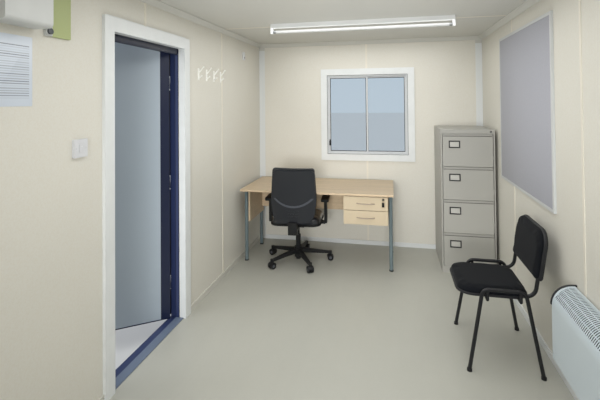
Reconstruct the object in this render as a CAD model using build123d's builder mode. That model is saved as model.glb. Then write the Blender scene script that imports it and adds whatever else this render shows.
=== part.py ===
from build123d import *
import math
import os

# Portable site cabin, in millimetres. The origin is the centre of its underside.
# X runs across the cabin, with the door in the wall at -X. Y runs along it, with the
# window in the end wall at +Y. Z is up, and the base frame stands on Z = 0.

# Room and shell
room_width = 2460.0
room_length = 5880.0
room_height = 2265.0
wall_core = 75.0
rib_depth = 35.0
base_height = 150.0
deck_thickness = 20.0
ceiling_thickness = 90.0
roof_beam_height = 165.0
sheet = 2.0
seam = 2.0

# Steel sections
base_flange_width = 60.0
base_web = 8.0
base_flange = 10.0
joist_width = 50.0
joist_pitch = 610.0
joists_each_side = 4
post_wall = 6.0
roof_flange_width = 60.0
roof_web = 5.0
roof_flange = 8.0

# Ribbed sheet, the same for walls and roof
rib_pitch = 250.0
rib_flat = 80.0
rib_slope = 45.0
roof_rib_depth = 32.0

# Lifting eyes
eye_thickness = 15.0
eye_radius = 45.0
eye_hole_radius = 25.0
eye_inset = 55.0
eye_rise = 60.0

# Door: an outward opening steel leaf, hung on the jamb nearer the window end
door_from_window_wall = 2260.0
door_clear_width = 800.0
door_clear_height = 2035.0
door_lining_drop = 40.0
door_open_deg = 53.0
frame_stop = 15.0
frame_side = 35.0
frame_depth = 75.0
leaf_thickness = 45.0
leaf_gap = 5.0
leaf_stile = 65.0
leaf_margin = 8.0
leaf_lining = 4.0
sill_rise = 2.0
leaf_foot_gap = 6.0
threshold_rise = 5.0
trim_width = 80.0
trim_thickness = 18.0

# Lift-off hinges
hinge_radius = 9.0
hinge_pin_radius = 5.0
hinge_pin_clearance = 0.08
hinge_length = 45.0
hinge_split = 1.0
hinge_stand_off = 10.0
hinge_heights = (250.0, 995.0, 1740.0)
hinge_strap = 34.0

# Lever handle
handle_height = 1010.0
handle_backset = 62.0
rose_radius = 24.0
rose_thickness = 8.0
lever_radius = 9.0
lever_reach = 48.0
lever_length = 115.0

# Window in the end wall
window_width = 890.0
window_height = 890.0
window_sill = 997.0
window_offset = 20.0
window_frame_face = 15.0
window_flange = 28.0
sash_face = 17.0
sash_thickness = 14.0
sash_overlap = 22.0
sash_setback = 12.0
glass_thickness = 4.0
window_trim_width = 70.0
window_trim_thickness = 12.0

# Trims in the room
skirting_height = 45.0
skirting_thickness = 10.0
coving_size = 37.0
coving_thickness = 5.0
strip_width = 20.0
strip_thickness = 3.0
corner_strip = 66.0
board_width = 1220.0
first_board = 1120.0

# Light
light_from_window_wall = 1235.0
light_left = 507.0
light_length = 1512.0
batten_width = 34.0
batten_height = 40.0
tube_radius = 13.0
tube_drop = 18.0
holder_width = 20.0

# Wall fittings
switch_size = 90.0
switch_depth = 14.0
switch_round = 4.0
rocker_size = (4.0, 28.0, 40.0)
switch_from_window_wall = 2914.0
switch_height = 1373.0
hook_count = 4
hook_pitch = 148.0
first_hook = 1150.0
hook_height = 1822.0
hook_plate_width = 20.0
hook_plate_height = 96.0
hook_plate_thickness = 3.0
hook_rod = 4.0
hook_tip = 6.0
hook_tip_length = 8.0
upper_prong = (10.0, 42.0, 62.0)
lower_prong = (-32.0, 26.0, -10.0)
sensor_from_window_wall = 557.0
sensor_height = 2075.0
sensor_size = (18.0, 34.0, 82.0)
sensor_round = 6.0
board_size = 1200.0
board_thickness = 15.0
board_recess = 4.0
board_from_window_wall = 780.0
board_foot = 920.0
board_rim = 20.0
heater_far_end = 2240.0
heater_length = 860.0
heater_depth = 112.0
heater_foot = 225.0
heater_height = 385.0
heater_round = 105.0
heater_wall_gap = 10.0
heater_sheet = 2.0
heater_end = 14.0
heater_bracket = 40.0
heater_bracket_inset = 150.0
heater_bracket_rise = 60.0
grille_start = 22.0
grille_thickness = 2.0
grille_bars = 4
grille_bar = 5.0
grille_ribs = 11
grille_rib = 6.0
unit_far_end = 3180.0
unit_width = 230.0
unit_height = 290.0
unit_depth = 100.0
unit_foot = 1920.0
unit_round = 18.0
unit_board_far_end = 2980.0
unit_board_width = 150.0
unit_board_height = 322.0
unit_board_foot = 1901.0
unit_board_thickness = 12.0

# Desk
desk_left = 48.0
desk_width = 1480.0
desk_depth = 738.0
desk_back_gap = 62.0
desk_height = 730.0
desk_board = 18.0
desk_corner = 3.0
desk_leg_radius = 17.0
desk_leg_inset = 28.0
desk_leg_front = 690.0
desk_leg_back = 200.0
desk_rail = 30.0
desk_rail_width = 24.0
desk_glide_radius = 20.0
desk_glide_height = 12.0
desk_panel = 18.0
desk_panel_foot = 385.0
desk_panel_gap = 5.0
modesty_foot = 440.0
modesty_inset = 60.0
pedestal_width = 410.0
pedestal_height = 268.0
pedestal_setback = 22.0
pedestal_leg_gap = 6.0
pedestal_depth = 480.0
pedestal_board = 16.0
pedestal_front = 16.0
drawer_gap = 5.0
desk_runner_height = 12.0
bow_length = 164.0
bow_reach = 26.0
bow_radius = 5.0
bow_foot = 8.0
bow_foot_thickness = 4.0
drawer_side = 12.0
drawer_floor = 6.0

# Filing cabinet
cabinet_wall_gap = 26.0
cabinet_width = 470.0
cabinet_depth = 607.0
cabinet_height = 1321.0
cabinet_back_gap = 15.0
cabinet_wall = 4.0
cabinet_return = 12.0
cabinet_plinth = 59.0
cabinet_head = 38.0
cabinet_inset = 20.0
cabinet_drawers = 4
cabinet_front = 18.0
cabinet_drawer_depth = 550.0
cabinet_drawer_rise = 20.0
cabinet_drawer_drop = 52.0
cabinet_runner_height = 34.0
cabinet_runner_rise = 60.0
cabinet_runner_length = 520.0
pull_height = 20.0
pull_depth = 8.0

# Office chair
office_x = 590.0
office_from_window_wall = 605.0
office_turn = 4.0
star_radius = 320.0
star_turn = 14.6
star_legs = 5
star_root = (132.0, 40.0, 28.0)
star_tip = (92.0, 24.0, 14.0)
star_cut = 0.35
boss_radius = 17.0
hub_radius = 38.0
hub_low_height = 46.0
hub_high_height = 146.0
castor_radius = 29.0
castor_width = 22.0
castor_split = 10.0
castor_gap = 5.0
castor_core = 15.0
lift_foot = 25.0
lift_radius = 24.0
lift_top = 265.0
lift_rod_radius = 14.0
office_seat_foot = 406.0
office_seat_thickness = 74.0
office_seat_width = 490.0
office_seat_depth = 450.0
office_seat_setback = 10.0
office_seat_corner = 90.0
office_seat_edges = (12.0, 28.0)
mechanism_size = (150.0, 200.0, 42.0)
mechanism_setback = 10.0
arm_pad_size = (76.0, 235.0, 28.0)
arm_pad_round = 24.0
arm_pad_edge = 9.0
arm_pad_top = 645.0
arm_offset = 278.0
arm_post = (28.0, 56.0)
arm_bar = 16.0
back_bar = (60.0, 16.0)
back_cover = (84.0, 40.0, 112.0)
back_cover_rise = 14.0
back_cover_round = 6.0
seat_lever = (7.0, 235.0, 45.0)
seat_paddle = (70.0, 34.0, 10.0)
office_back_from_window_wall = 925.0
office_back_top_width = 396.0
office_back_width = 428.0
office_back_foot_width = 384.0
office_back_waist = 0.42
office_back_corners = (100.0, 260.0, 34.0)
office_back_bend = 650.0
office_back_foot = 462.0
office_back_head = 944.0
office_back_shell = 18.0
office_back_rim = 5.0
office_back_pad = 36.0
office_pad_margin = 10.0
office_pad_rise = 14.0
office_pad_rim = 12.0
office_ridge_radius = 256.0
office_ridge_foot = 606.0
office_ridge_reach = 46.0
office_ridge_width = 14.0
office_ridge_rise = 3.0

# Visitor chair
visitor_front_gap = 510.0
visitor_rear_gap = 112.0
visitor_near = 2045.0
visitor_far = 1567.0
visitor_splay = 24.0
visitor_tube = 11.0
visitor_bar = 9.0
visitor_foot_radius = 14.5
visitor_foot_height = 14.0
visitor_foot_socket = 6.0
visitor_rail_height = 472.0
visitor_front_rake = 84.0
visitor_rear_rake = 80.0
visitor_rail_bend = 42.0
visitor_riser_drop = 28.0
visitor_riser_inset = 18.0
visitor_riser_bend = 58.0
visitor_riser_hold = 140.0
visitor_riser_start = 8.0
visitor_lean_deg = 9.0
visitor_bar_inset = 26.0
visitor_seat_width = 446.0
visitor_seat_depth = 410.0
visitor_seat_thickness = 50.0
visitor_seat_corner = 100.0
visitor_seat_overhang = 55.0
visitor_seat_drop = 50.0
visitor_seat_edge = 18.0
visitor_back_gap = 124.0
visitor_back_height = 320.0
visitor_back_width = 484.0
visitor_back_thickness = 46.0
visitor_back_foot = 538.0
visitor_back_corner = 80.0
visitor_back_foot_corner = 30.0

# Levels and faces that follow from the sizes above
floor_z = base_height + deck_thickness
ceiling_z = floor_z + room_height
roof_z = ceiling_z + roof_beam_height
left = -room_width / 2
right = room_width / 2
far = room_length / 2
rear = -room_length / 2
core_x = room_width / 2 + wall_core
core_y = room_length / 2 + wall_core
out_x = core_x + rib_depth
out_y = core_y + rib_depth
post = wall_core + rib_depth
touch = 0.3

os.makedirs("parts", exist_ok=True)


def block(low, high, mode=Mode.ADD):
    """Add a box between two opposite corners to the part that is being built."""
    middle = tuple((a + b) / 2 for a, b in zip(low, high))
    with Locations(middle):
        Box(*(b - a for a, b in zip(low, high)), mode=mode)


def save(built, name, turn=0.0):
    """Label a finished piece and write it, turned about the office chair's axis where asked."""
    piece = built.part.rotate(chair_axis, turn) if turn else built.part
    piece.label = name
    export_step(piece, "parts/" + name + ".step")


def rib_points(start, end, depth):
    """Breakpoints of the rib wave between two ends, each with its depth from the wall."""
    steps = (0.0, rib_flat, rib_flat + rib_slope, 2 * rib_flat + rib_slope, rib_pitch)
    rise = (0.0, 0.0, 1.0, 1.0, 0.0)

    def wave(s):
        phase = s % rib_pitch
        for i in range(4):
            if phase <= steps[i + 1]:
                part = (phase - steps[i]) / (steps[i + 1] - steps[i])
                return (rise[i] + part * (rise[i + 1] - rise[i])) * (depth - sheet)
        return 0.0

    first = math.floor(start / rib_pitch)
    last = math.ceil(end / rib_pitch)
    places = [k * rib_pitch + step for k in range(first, last) for step in steps[:4]]
    inside = [s for s in places if start + 1.0 < s < end - 1.0]
    return [(s, wave(s)) for s in [start] + inside + [end]]


def ribbed(start, end, depth, place):
    """Draw the closed outline of a ribbed sheet. place turns run and depth into a point."""
    points = rib_points(start, end, depth)
    loop = [place(s, d) for s, d in points] + [place(s, d + sheet) for s, d in reversed(points)]
    with BuildLine() as outline:
        Polyline(*loop, close=True)
    make_face(outline.edges())


def channel(plane, length, width, height, web, flange):
    """Extrude a channel whose web stands on the plane's origin and whose flanges run along its X."""
    with BuildSketch(plane) as section:
        with Locations((width / 2, height / 2)):
            Rectangle(width, height)
        with Locations(((width + web) / 2, height / 2)):
            Rectangle(width - web, height - 2 * flange, mode=Mode.SUBTRACT)
    extrude(section.sketch, amount=length)


def channel_ring(z, width, height, web, flange, inset):
    """Four channels round the cabin with their webs outside, each inset at both its ends."""
    long_run = 2 * (out_y - inset)
    short_run = 2 * (out_x - inset)
    sides = (
        ((-out_x, out_y - inset, z), (1, 0, 0), (0, -1, 0), long_run),
        ((out_x, inset - out_y, z), (-1, 0, 0), (0, 1, 0), long_run),
        ((inset - out_x, -out_y, z), (0, 1, 0), (1, 0, 0), short_run),
        ((out_x - inset, out_y, z), (0, -1, 0), (-1, 0, 0), short_run),
    )
    for origin, inward, along, run in sides:
        channel(Plane(origin=origin, x_dir=inward, z_dir=along), run, width, height, web, flange)


# Base frame: a ring of channels with joists between them, the middle joist over the origin
with BuildPart() as base_frame:
    channel_ring(0, base_flange_width, base_height, base_web, base_flange, 0)
    joist_run = 2 * (out_x - base_web)
    for step in range(-joists_each_side, joists_each_side + 1):
        joist_start = (base_web - out_x, step * joist_pitch - joist_width / 2, 0)
        joist_plane = Plane(origin=joist_start, x_dir=(0, 1, 0), z_dir=(1, 0, 0))
        channel(joist_plane, joist_run, joist_width, base_height, base_web, base_flange)
save(base_frame, "base_frame")

# Corner posts: square tubes with a closed top
with BuildPart() as corner_posts:
    post_centres = [(x, y) for x in (-1, 1) for y in (-1, 1)]
    post_places = [(x * (out_x - post / 2), y * (out_y - post / 2)) for x, y in post_centres]
    with BuildSketch(Plane.XY.offset(base_height)):
        with Locations(*post_places):
            Rectangle(post, post)
            Rectangle(post - 2 * post_wall, post - 2 * post_wall, mode=Mode.SUBTRACT)
    extrude(amount=roof_z - base_height - post_wall)
    with BuildSketch(Plane.XY.offset(roof_z - post_wall)):
        with Locations(*post_places):
            Rectangle(post, post)
    extrude(amount=post_wall)
save(corner_posts, "corner_posts")

# Roof frame: four channels between the corner posts
with BuildPart() as roof_frame:
    channel_ring(ceiling_z, roof_flange_width, roof_beam_height, roof_web, roof_flange, post)
save(roof_frame, "roof_frame")

# Lifting eyes: a drilled plate on the top of each corner post
roof_top = roof_z + roof_rib_depth
with BuildPart() as lifting_eyes:
    for side_x, side_y in post_centres:
        eye_x = side_x * (out_x - eye_inset)
        eye_y = side_y * (out_y - eye_inset)
        eye_plane = Plane(origin=(eye_x - eye_thickness / 2, eye_y, roof_z), x_dir=(0, 1, 0),
                          z_dir=(1, 0, 0))
        with BuildSketch(eye_plane):
            with Locations((0, eye_rise)):
                Circle(eye_radius)
            with Locations((0, eye_rise / 2)):
                Rectangle(2 * eye_radius, eye_rise)
            with Locations((0, eye_rise)):
                Circle(eye_hole_radius, mode=Mode.SUBTRACT)
        extrude(amount=eye_thickness)
save(lifting_eyes, "lifting_eyes")

# Roof sheet: ribs run across the cabin. Its corners are notched round the lifting eyes
with BuildPart() as roof_sheet:
    roof_plane = Plane(origin=(-out_x, 0, roof_z), x_dir=(0, 1, 0), z_dir=(1, 0, 0))
    with BuildSketch(roof_plane):
        ribbed(-out_y, out_y, roof_rib_depth, lambda s, d: (s, d))
    extrude(amount=2 * out_x)
    for side_x, side_y in post_centres:
        corner = (side_x * out_x, side_y * out_y)
        notch = (side_x * (out_x - post), side_y * (out_y - post))
        low = (min(corner[0], notch[0]), min(corner[1], notch[1]), roof_z - sheet)
        high = (max(corner[0], notch[0]), max(corner[1], notch[1]), roof_top + sheet)
        block(low, high, mode=Mode.SUBTRACT)
save(roof_sheet, "roof_sheet")

# Openings in the walls
door_y = far - door_from_window_wall
rebate_half = door_clear_width / 2 + frame_stop
door_half = rebate_half + frame_side
door_head = floor_z + door_clear_height
rebate_head = door_head + frame_stop
door_top = rebate_head + frame_side
window_low = floor_z + window_sill
window_high = window_low + window_height
window_left = window_offset - window_width / 2
window_right = window_offset + window_width / 2

# Walls: panels of their real thickness on the base frame, split round the doorway
with BuildPart() as door_wall_near:
    block((-core_x, rear, base_height), (left, door_y - door_half, ceiling_z))
save(door_wall_near, "door_wall_near")

with BuildPart() as door_wall_far:
    block((-core_x, door_y + door_half, base_height), (left, far, ceiling_z))
save(door_wall_far, "door_wall_far")

with BuildPart() as door_wall_head:
    block((-core_x, door_y - door_half, door_top), (left, door_y + door_half, ceiling_z))
save(door_wall_head, "door_wall_head")

with BuildPart() as plain_wall:
    block((right, rear, base_height), (core_x, far, ceiling_z))
save(plain_wall, "plain_wall")

with BuildPart() as rear_wall:
    block((left, -core_y, base_height), (right, rear, ceiling_z))
save(rear_wall, "rear_wall")

with BuildPart() as window_wall:
    block((left, far, base_height), (right, core_y, ceiling_z))
    block((window_left, far, window_low), (window_right, core_y, window_high), mode=Mode.SUBTRACT)
save(window_wall, "window_wall")

# Cladding: ribbed steel sheet outside the panels, in lengths that stop at the openings
wall_run = out_y - post
end_run = out_x - post


def sheet_panel(start, end, low, high, place):
    """One length of wall sheet between two levels."""
    with BuildSketch(Plane.XY.offset(low)) as outline:
        ribbed(start, end, rib_depth, place)
    extrude(outline.sketch, amount=high - low)


def over_door_side(s, d):
    return (-core_x - d, s)


def over_plain_side(s, d):
    return (core_x + d, s)


def over_window_end(s, d):
    return (s, core_y + d)


def over_rear_end(s, d):
    return (s, -core_y - d)


with BuildPart() as cladding_door_side:
    sheet_panel(-wall_run, door_y - door_half - seam, base_height, ceiling_z, over_door_side)
    sheet_panel(door_y + door_half + seam, wall_run, base_height, ceiling_z, over_door_side)
    sheet_panel(door_y - door_half, door_y + door_half, door_top + seam, ceiling_z, over_door_side)
save(cladding_door_side, "cladding_door_side")

with BuildPart() as cladding_plain_side:
    sheet_panel(-wall_run, wall_run, base_height, ceiling_z, over_plain_side)
save(cladding_plain_side, "cladding_plain_side")

flange_left = window_left - window_flange
flange_right = window_right + window_flange
flange_low = window_low - window_flange
flange_high = window_high + window_flange
with BuildPart() as cladding_window_end:
    sheet_panel(-end_run, flange_left - seam, base_height, ceiling_z, over_window_end)
    sheet_panel(flange_right + seam, end_run, base_height, ceiling_z, over_window_end)
    sheet_panel(flange_left, flange_right, base_height, flange_low - seam, over_window_end)
    sheet_panel(flange_left, flange_right, flange_high + seam, ceiling_z, over_window_end)
save(cladding_window_end, "cladding_window_end")

with BuildPart() as cladding_rear_end:
    sheet_panel(-end_run, end_run, base_height, ceiling_z, over_rear_end)
save(cladding_rear_end, "cladding_rear_end")

# Floor and ceiling
with BuildPart() as floor_deck:
    block((left, rear, base_height), (right, far, floor_z))
save(floor_deck, "floor_deck")

ceiling_bearing = 20.0
with BuildPart() as ceiling_panel:
    block((left - ceiling_bearing, rear - ceiling_bearing, ceiling_z),
          (right + ceiling_bearing, far + ceiling_bearing, ceiling_z + ceiling_thickness))
    for side_x, side_y in post_centres:
        with Locations((side_x * (right + ceiling_bearing / 2),
                        side_y * (far + ceiling_bearing / 2), ceiling_z + ceiling_thickness / 2)):
            Box(ceiling_bearing, ceiling_bearing, ceiling_thickness, mode=Mode.SUBTRACT)
save(ceiling_panel, "ceiling_panel")

# Door frame: a rebated steel section round the doorway, with a sill member and hinge knuckles
frame_out = -out_x
frame_in = frame_out + frame_depth
stop_x = frame_out + leaf_thickness + leaf_gap
clear_half = door_clear_width / 2
hinge_x = frame_out - hinge_stand_off
hinge_y = door_y + rebate_half - leaf_gap / 2
sill_z = floor_z + sill_rise

with BuildPart() as door_frame:
    block((frame_out, door_y - door_half, base_height), (frame_in, door_y + door_half, door_top))
    block((frame_out, door_y - rebate_half, sill_z), (stop_x, door_y + rebate_half, rebate_head),
          mode=Mode.SUBTRACT)
    block((stop_x, door_y - clear_half, sill_z), (frame_in, door_y + clear_half, door_head),
          mode=Mode.SUBTRACT)
    block((stop_x, door_y - clear_half, base_height), (frame_in, door_y + clear_half, sill_z),
          mode=Mode.SUBTRACT)
    for height in hinge_heights:
        knuckle_z = floor_z + height - hinge_length
        with Locations((hinge_x, hinge_y, knuckle_z + hinge_length / 2)):
            Cylinder(hinge_radius, hinge_length)
        block((hinge_x, hinge_y, knuckle_z),
              (frame_out + 1.0, hinge_y + hinge_strap, knuckle_z + hinge_length))
        with Locations((hinge_x, hinge_y, knuckle_z + hinge_length)):
            Cylinder(hinge_pin_radius, 2 * hinge_length - 8.0)
save(door_frame, "door_frame")

# Threshold strip between the floor and the sill member
with BuildPart() as threshold:
    block((stop_x, door_y - clear_half, base_height),
          (left, door_y + clear_half, floor_z + threshold_rise))
save(threshold, "threshold")

# White lining and architrave round the doorway
lining_half = clear_half + 2.0
lining_head = door_head - door_lining_drop
trim_half = lining_half + trim_width
with BuildPart() as door_trim:
    block((frame_in, door_y - door_half, floor_z), (left, door_y + door_half, door_top))
    block((left, door_y - trim_half, floor_z),
          (left + trim_thickness, door_y + trim_half, lining_head + trim_width))
    block((frame_in, door_y - lining_half, floor_z),
          (left + trim_thickness, door_y + lining_half, lining_head), mode=Mode.SUBTRACT)
save(door_trim, "door_trim")

# Door leaf, built closed and then swung open about its hinge line
leaf_half = rebate_half - leaf_gap
leaf_low = sill_z + leaf_foot_gap
leaf_high = rebate_head - leaf_gap
leaf_in = frame_out + leaf_thickness
hinge_line = Axis((hinge_x, hinge_y, 0), (0, 0, 1))
bore_radius = hinge_pin_radius + hinge_pin_clearance

with BuildPart() as door_leaf:
    block((frame_out, door_y - leaf_half, leaf_low), (leaf_in, door_y + leaf_half, leaf_high))
    block((leaf_in - leaf_lining, door_y - leaf_half + leaf_margin, leaf_low + leaf_margin),
          (leaf_in, door_y + leaf_half - leaf_stile, leaf_high - leaf_margin), mode=Mode.SUBTRACT)
    for height in hinge_heights:
        knuckle_z = floor_z + height + hinge_split
        block((hinge_x, hinge_y - hinge_strap, knuckle_z),
              (frame_out + 1.0, hinge_y, knuckle_z + hinge_length))
        with Locations((hinge_x, hinge_y, knuckle_z + hinge_length / 2)):
            Cylinder(hinge_radius, hinge_length)
            Cylinder(bore_radius, hinge_length, mode=Mode.SUBTRACT)
    with Locations((left - wall_core / 2, door_y - leaf_half + handle_backset,
                    floor_z + handle_height)):
        Cylinder(lever_radius + touch, 4 * wall_core, rotation=(0, 90, 0), mode=Mode.SUBTRACT)
door_leaf.part = door_leaf.part.rotate(hinge_line, -door_open_deg)
save(door_leaf, "door_leaf")

with BuildPart() as door_leaf_lining:
    block((leaf_in - leaf_lining, door_y - leaf_half + leaf_margin + touch,
           leaf_low + leaf_margin + touch),
          (leaf_in, door_y + leaf_half - leaf_stile - touch, leaf_high - leaf_margin - touch))
    with Locations((left - wall_core / 2, door_y - leaf_half + handle_backset,
                    floor_z + handle_height)):
        Cylinder(lever_radius + touch, 4 * wall_core, rotation=(0, 90, 0), mode=Mode.SUBTRACT)
door_leaf_lining.part = door_leaf_lining.part.rotate(hinge_line, -door_open_deg)
save(door_leaf_lining, "door_leaf_lining")

with BuildPart() as door_handle:
    handle_y = door_y - leaf_half + handle_backset
    handle_z = floor_z + handle_height
    for face, outward in ((frame_out, -1), (leaf_in, 1)):
        rose_x = face + outward * (rose_thickness / 2)
        with Locations((rose_x, handle_y, handle_z)):
            Cylinder(rose_radius, rose_thickness, rotation=(0, 90, 0))
        lever_x = face + outward * lever_reach
        block((min(face, lever_x), handle_y - lever_radius, handle_z - lever_radius),
              (max(face, lever_x), handle_y + lever_radius, handle_z + lever_radius))
        with Locations((lever_x, handle_y + lever_length / 2 - lever_radius, handle_z)):
            Cylinder(lever_radius, lever_length, rotation=(90, 0, 0))
    with Locations(((frame_out + leaf_in) / 2, handle_y, handle_z)):
        Cylinder(lever_radius, leaf_thickness + 2.0, rotation=(0, 90, 0))
door_handle.part = door_handle.part.rotate(hinge_line, -door_open_deg)
save(door_handle, "door_handle")

# Window: an aluminium frame with an outer flange, two sliding sashes and their glass
with BuildPart() as window_frame:
    block((window_left, far, window_low), (window_right, out_y, window_high))
    block((flange_left, out_y - sheet, flange_low), (flange_right, out_y + sheet, flange_high))
    block((window_left + window_frame_face, far - sheet, window_low + window_frame_face),
          (window_right - window_frame_face, out_y + 2 * sheet, window_high - window_frame_face),
          mode=Mode.SUBTRACT)
save(window_frame, "window_frame")

glazed_left = window_left + window_frame_face
glazed_right = window_right - window_frame_face
glazed_low = window_low + window_frame_face
glazed_high = window_high - window_frame_face
sash_run = (glazed_right - glazed_left + sash_overlap) / 2
sashes = (
    (glazed_left + touch, far + sash_setback),
    (glazed_right - touch - sash_run, far + sash_setback + sash_thickness + 4.0),
)
with BuildPart() as window_sashes:
    for sash_x, sash_y in sashes:
        block((sash_x, sash_y, glazed_low + touch),
              (sash_x + sash_run, sash_y + sash_thickness, glazed_high - touch))
        block((sash_x + sash_face, sash_y, glazed_low + touch + sash_face),
              (sash_x + sash_run - sash_face, sash_y + sash_thickness,
               glazed_high - touch - sash_face), mode=Mode.SUBTRACT)
save(window_sashes, "window_sashes")

with BuildPart() as window_glass:
    for sash_x, sash_y in sashes:
        glass_y = sash_y + (sash_thickness - glass_thickness) / 2
        block((sash_x + sash_face + touch, glass_y, glazed_low + sash_face + 2 * touch),
              (sash_x + sash_run - sash_face - touch, glass_y + glass_thickness,
               glazed_high - sash_face - 2 * touch))
save(window_glass, "window_glass")

with BuildPart() as window_trim:
    block((window_left - window_trim_width, far - window_trim_thickness,
           window_low - window_trim_width),
          (window_right + window_trim_width, far, window_high + window_trim_width))
    block((window_left, far - window_trim_thickness, window_low),
          (window_right, far, window_high), mode=Mode.SUBTRACT)
save(window_trim, "window_trim")

# Skirting along the foot of each wall, stopped at the doorway
skirting_top = floor_z + skirting_height
with BuildPart() as skirting:
    block((left, rear + skirting_thickness + touch, floor_z),
          (left + skirting_thickness, door_y - trim_half, skirting_top))
    block((left, door_y + trim_half, floor_z),
          (left + skirting_thickness, far - skirting_thickness - touch, skirting_top))
    block((right - skirting_thickness, rear + skirting_thickness + touch, floor_z),
          (right, far - skirting_thickness - touch, skirting_top))
    block((left, far - skirting_thickness, floor_z), (right, far, skirting_top))
    block((left, rear, floor_z), (right, rear + skirting_thickness, skirting_top))
save(skirting, "skirting")


def coving_profile(plane, run):
    """A flat strip that lies across the corner between a wall and the ceiling."""
    with BuildSketch(plane) as section:
        with BuildLine():
            Polyline((0, 0), (coving_size, 0), (coving_size, -coving_thickness),
                     (coving_thickness, -coving_size), (0, -coving_size), close=True)
        make_face()
    extrude(section.sketch, amount=run)


strip_low = skirting_top + touch
strip_high = ceiling_z - coving_size - touch
with BuildPart() as coving:
    cove_end = coving_size + touch
    coving_profile(Plane(origin=(left, rear + cove_end, ceiling_z), x_dir=(1, 0, 0),
                         z_dir=(0, -1, 0)), -(room_length - 2 * cove_end))
    coving_profile(Plane(origin=(right, far - cove_end, ceiling_z), x_dir=(-1, 0, 0),
                         z_dir=(0, 1, 0)), -(room_length - 2 * cove_end))
    coving_profile(Plane(origin=(left, far, ceiling_z), x_dir=(0, -1, 0), z_dir=(-1, 0, 0)),
                   -room_width)
    coving_profile(Plane(origin=(right, rear, ceiling_z), x_dir=(0, 1, 0), z_dir=(1, 0, 0)),
                   -room_width)
    for low_x in (left, right - corner_strip):
        block((low_x, far - strip_thickness, strip_low), (low_x + corner_strip, far, strip_high))
        block((low_x, rear, strip_low), (low_x + corner_strip, rear + strip_thickness, strip_high))
save(coving, "coving")

# Cover strips over the board joints, stopped at the pin board
board_y = far - board_from_window_wall
board_z = floor_z + board_foot
joint_places = [far - first_board - step * board_width for step in range(4)]
with BuildPart() as joint_strips:
    for place in joint_places:
        over_door = abs(place - door_y) < trim_half + strip_width
        foot = lining_head + trim_width + touch if over_door else strip_low
        block((left, place - strip_width / 2, foot),
              (left + strip_thickness, place + strip_width / 2, strip_high))
        behind_board = board_y - board_size - strip_width < place < board_y + strip_width
        stretches = [(strip_low, strip_high)]
        if behind_board:
            stretches = [(strip_low, board_z - touch), (board_z + board_size + touch, strip_high)]
        for stretch_low, stretch_high in stretches:
            block((right - strip_thickness, place - strip_width / 2, stretch_low),
                  (right, place + strip_width / 2, stretch_high))
    window_strip = window_offset - strip_width / 2
    trim_low = window_low - window_trim_width - touch
    trim_high = window_high + window_trim_width + touch
    block((window_strip, far - strip_thickness, strip_low),
          (window_strip + strip_width, far, trim_low))
    block((window_strip, far - strip_thickness, trim_high),
          (window_strip + strip_width, far, strip_high))
    block((window_strip, rear, strip_low),
          (window_strip + strip_width, rear + strip_thickness, strip_high))
save(joint_strips, "joint_strips")

# Ceiling light: a slim batten with a tube between two lampholders
light_y = far - light_from_window_wall
batten_low = ceiling_z - batten_height
tube_z = batten_low - tube_drop - tube_radius + 1.0
with BuildPart() as light_batten:
    block((left + light_left, light_y - batten_width / 2, batten_low),
          (left + light_left + light_length, light_y + batten_width / 2, ceiling_z))
    for holder_x in (left + light_left, left + light_left + light_length - holder_width):
        block((holder_x, light_y - batten_width / 2, tube_z - tube_radius - 2.0),
              (holder_x + holder_width, light_y + batten_width / 2, batten_low))
save(light_batten, "light_batten")

with BuildPart() as light_tube:
    tube_run = light_length - 2 * holder_width - 2 * touch
    with Locations((left + light_left + light_length / 2, light_y, tube_z)):
        Cylinder(tube_radius, tube_run, rotation=(0, 90, 0))
save(light_tube, "light_tube")

# Light switch: a surface box with a rocker
switch_y = far - switch_from_window_wall
switch_z = floor_z + switch_height
with BuildPart() as light_switch:
    block((left, switch_y - switch_size / 2, switch_z - switch_size / 2),
          (left + switch_depth, switch_y + switch_size / 2, switch_z + switch_size / 2))
    fillet(light_switch.edges().filter_by(Axis.X), switch_round)
    with Locations((left + switch_depth + rocker_size[0] / 2, switch_y, switch_z)):
        Box(*rocker_size)
save(light_switch, "light_switch")

# Coat hooks: a plate with an upper and a lower prong, each with a thicker tip
with BuildPart() as coat_hooks:
    hook_z = floor_z + hook_height
    for step in range(hook_count):
        hook_y = far - first_hook - step * hook_pitch
        block((left, hook_y - hook_plate_width / 2, hook_z - hook_plate_height / 2),
              (left + hook_plate_thickness, hook_y + hook_plate_width / 2,
               hook_z + hook_plate_height / 2))
        for start, reach, end in (upper_prong, lower_prong):
            prong_run = math.hypot(reach, end - start)
            prong = Plane(origin=(left + hook_rod, hook_y, hook_z + start), x_dir=(0, 1, 0),
                          z_dir=(reach, 0, end - start))
            with BuildSketch(prong) as prong_section:
                Circle(hook_rod)
            extrude(prong_section.sketch, amount=prong_run)
            with BuildSketch(prong.offset(prong_run - hook_tip_length)) as tip_section:
                Circle(hook_tip)
            extrude(tip_section.sketch, amount=hook_tip_length)
save(coat_hooks, "coat_hooks")

# Small sensor near the far end of the door wall
with BuildPart() as wall_sensor:
    sensor_y = far - sensor_from_window_wall
    sensor_z = floor_z + sensor_height
    block((left, sensor_y - sensor_size[1] / 2, sensor_z - sensor_size[2] / 2),
          (left + sensor_size[0], sensor_y + sensor_size[1] / 2, sensor_z + sensor_size[2] / 2))
    fillet(wall_sensor.edges().filter_by(Axis.Y).sort_by(Axis.X)[-2:], sensor_round)
save(wall_sensor, "wall_sensor")

# Pin board: a felt panel in a thin raised rim
with BuildPart() as pin_board:
    block((right - board_thickness, board_y - board_size, board_z),
          (right, board_y, board_z + board_size))
    block((right - board_thickness, board_y - board_size + board_rim, board_z + board_rim),
          (right - board_thickness + board_recess, board_y - board_rim, board_z + board_size - board_rim),
          mode=Mode.SUBTRACT)
save(pin_board, "pin_board")

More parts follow.
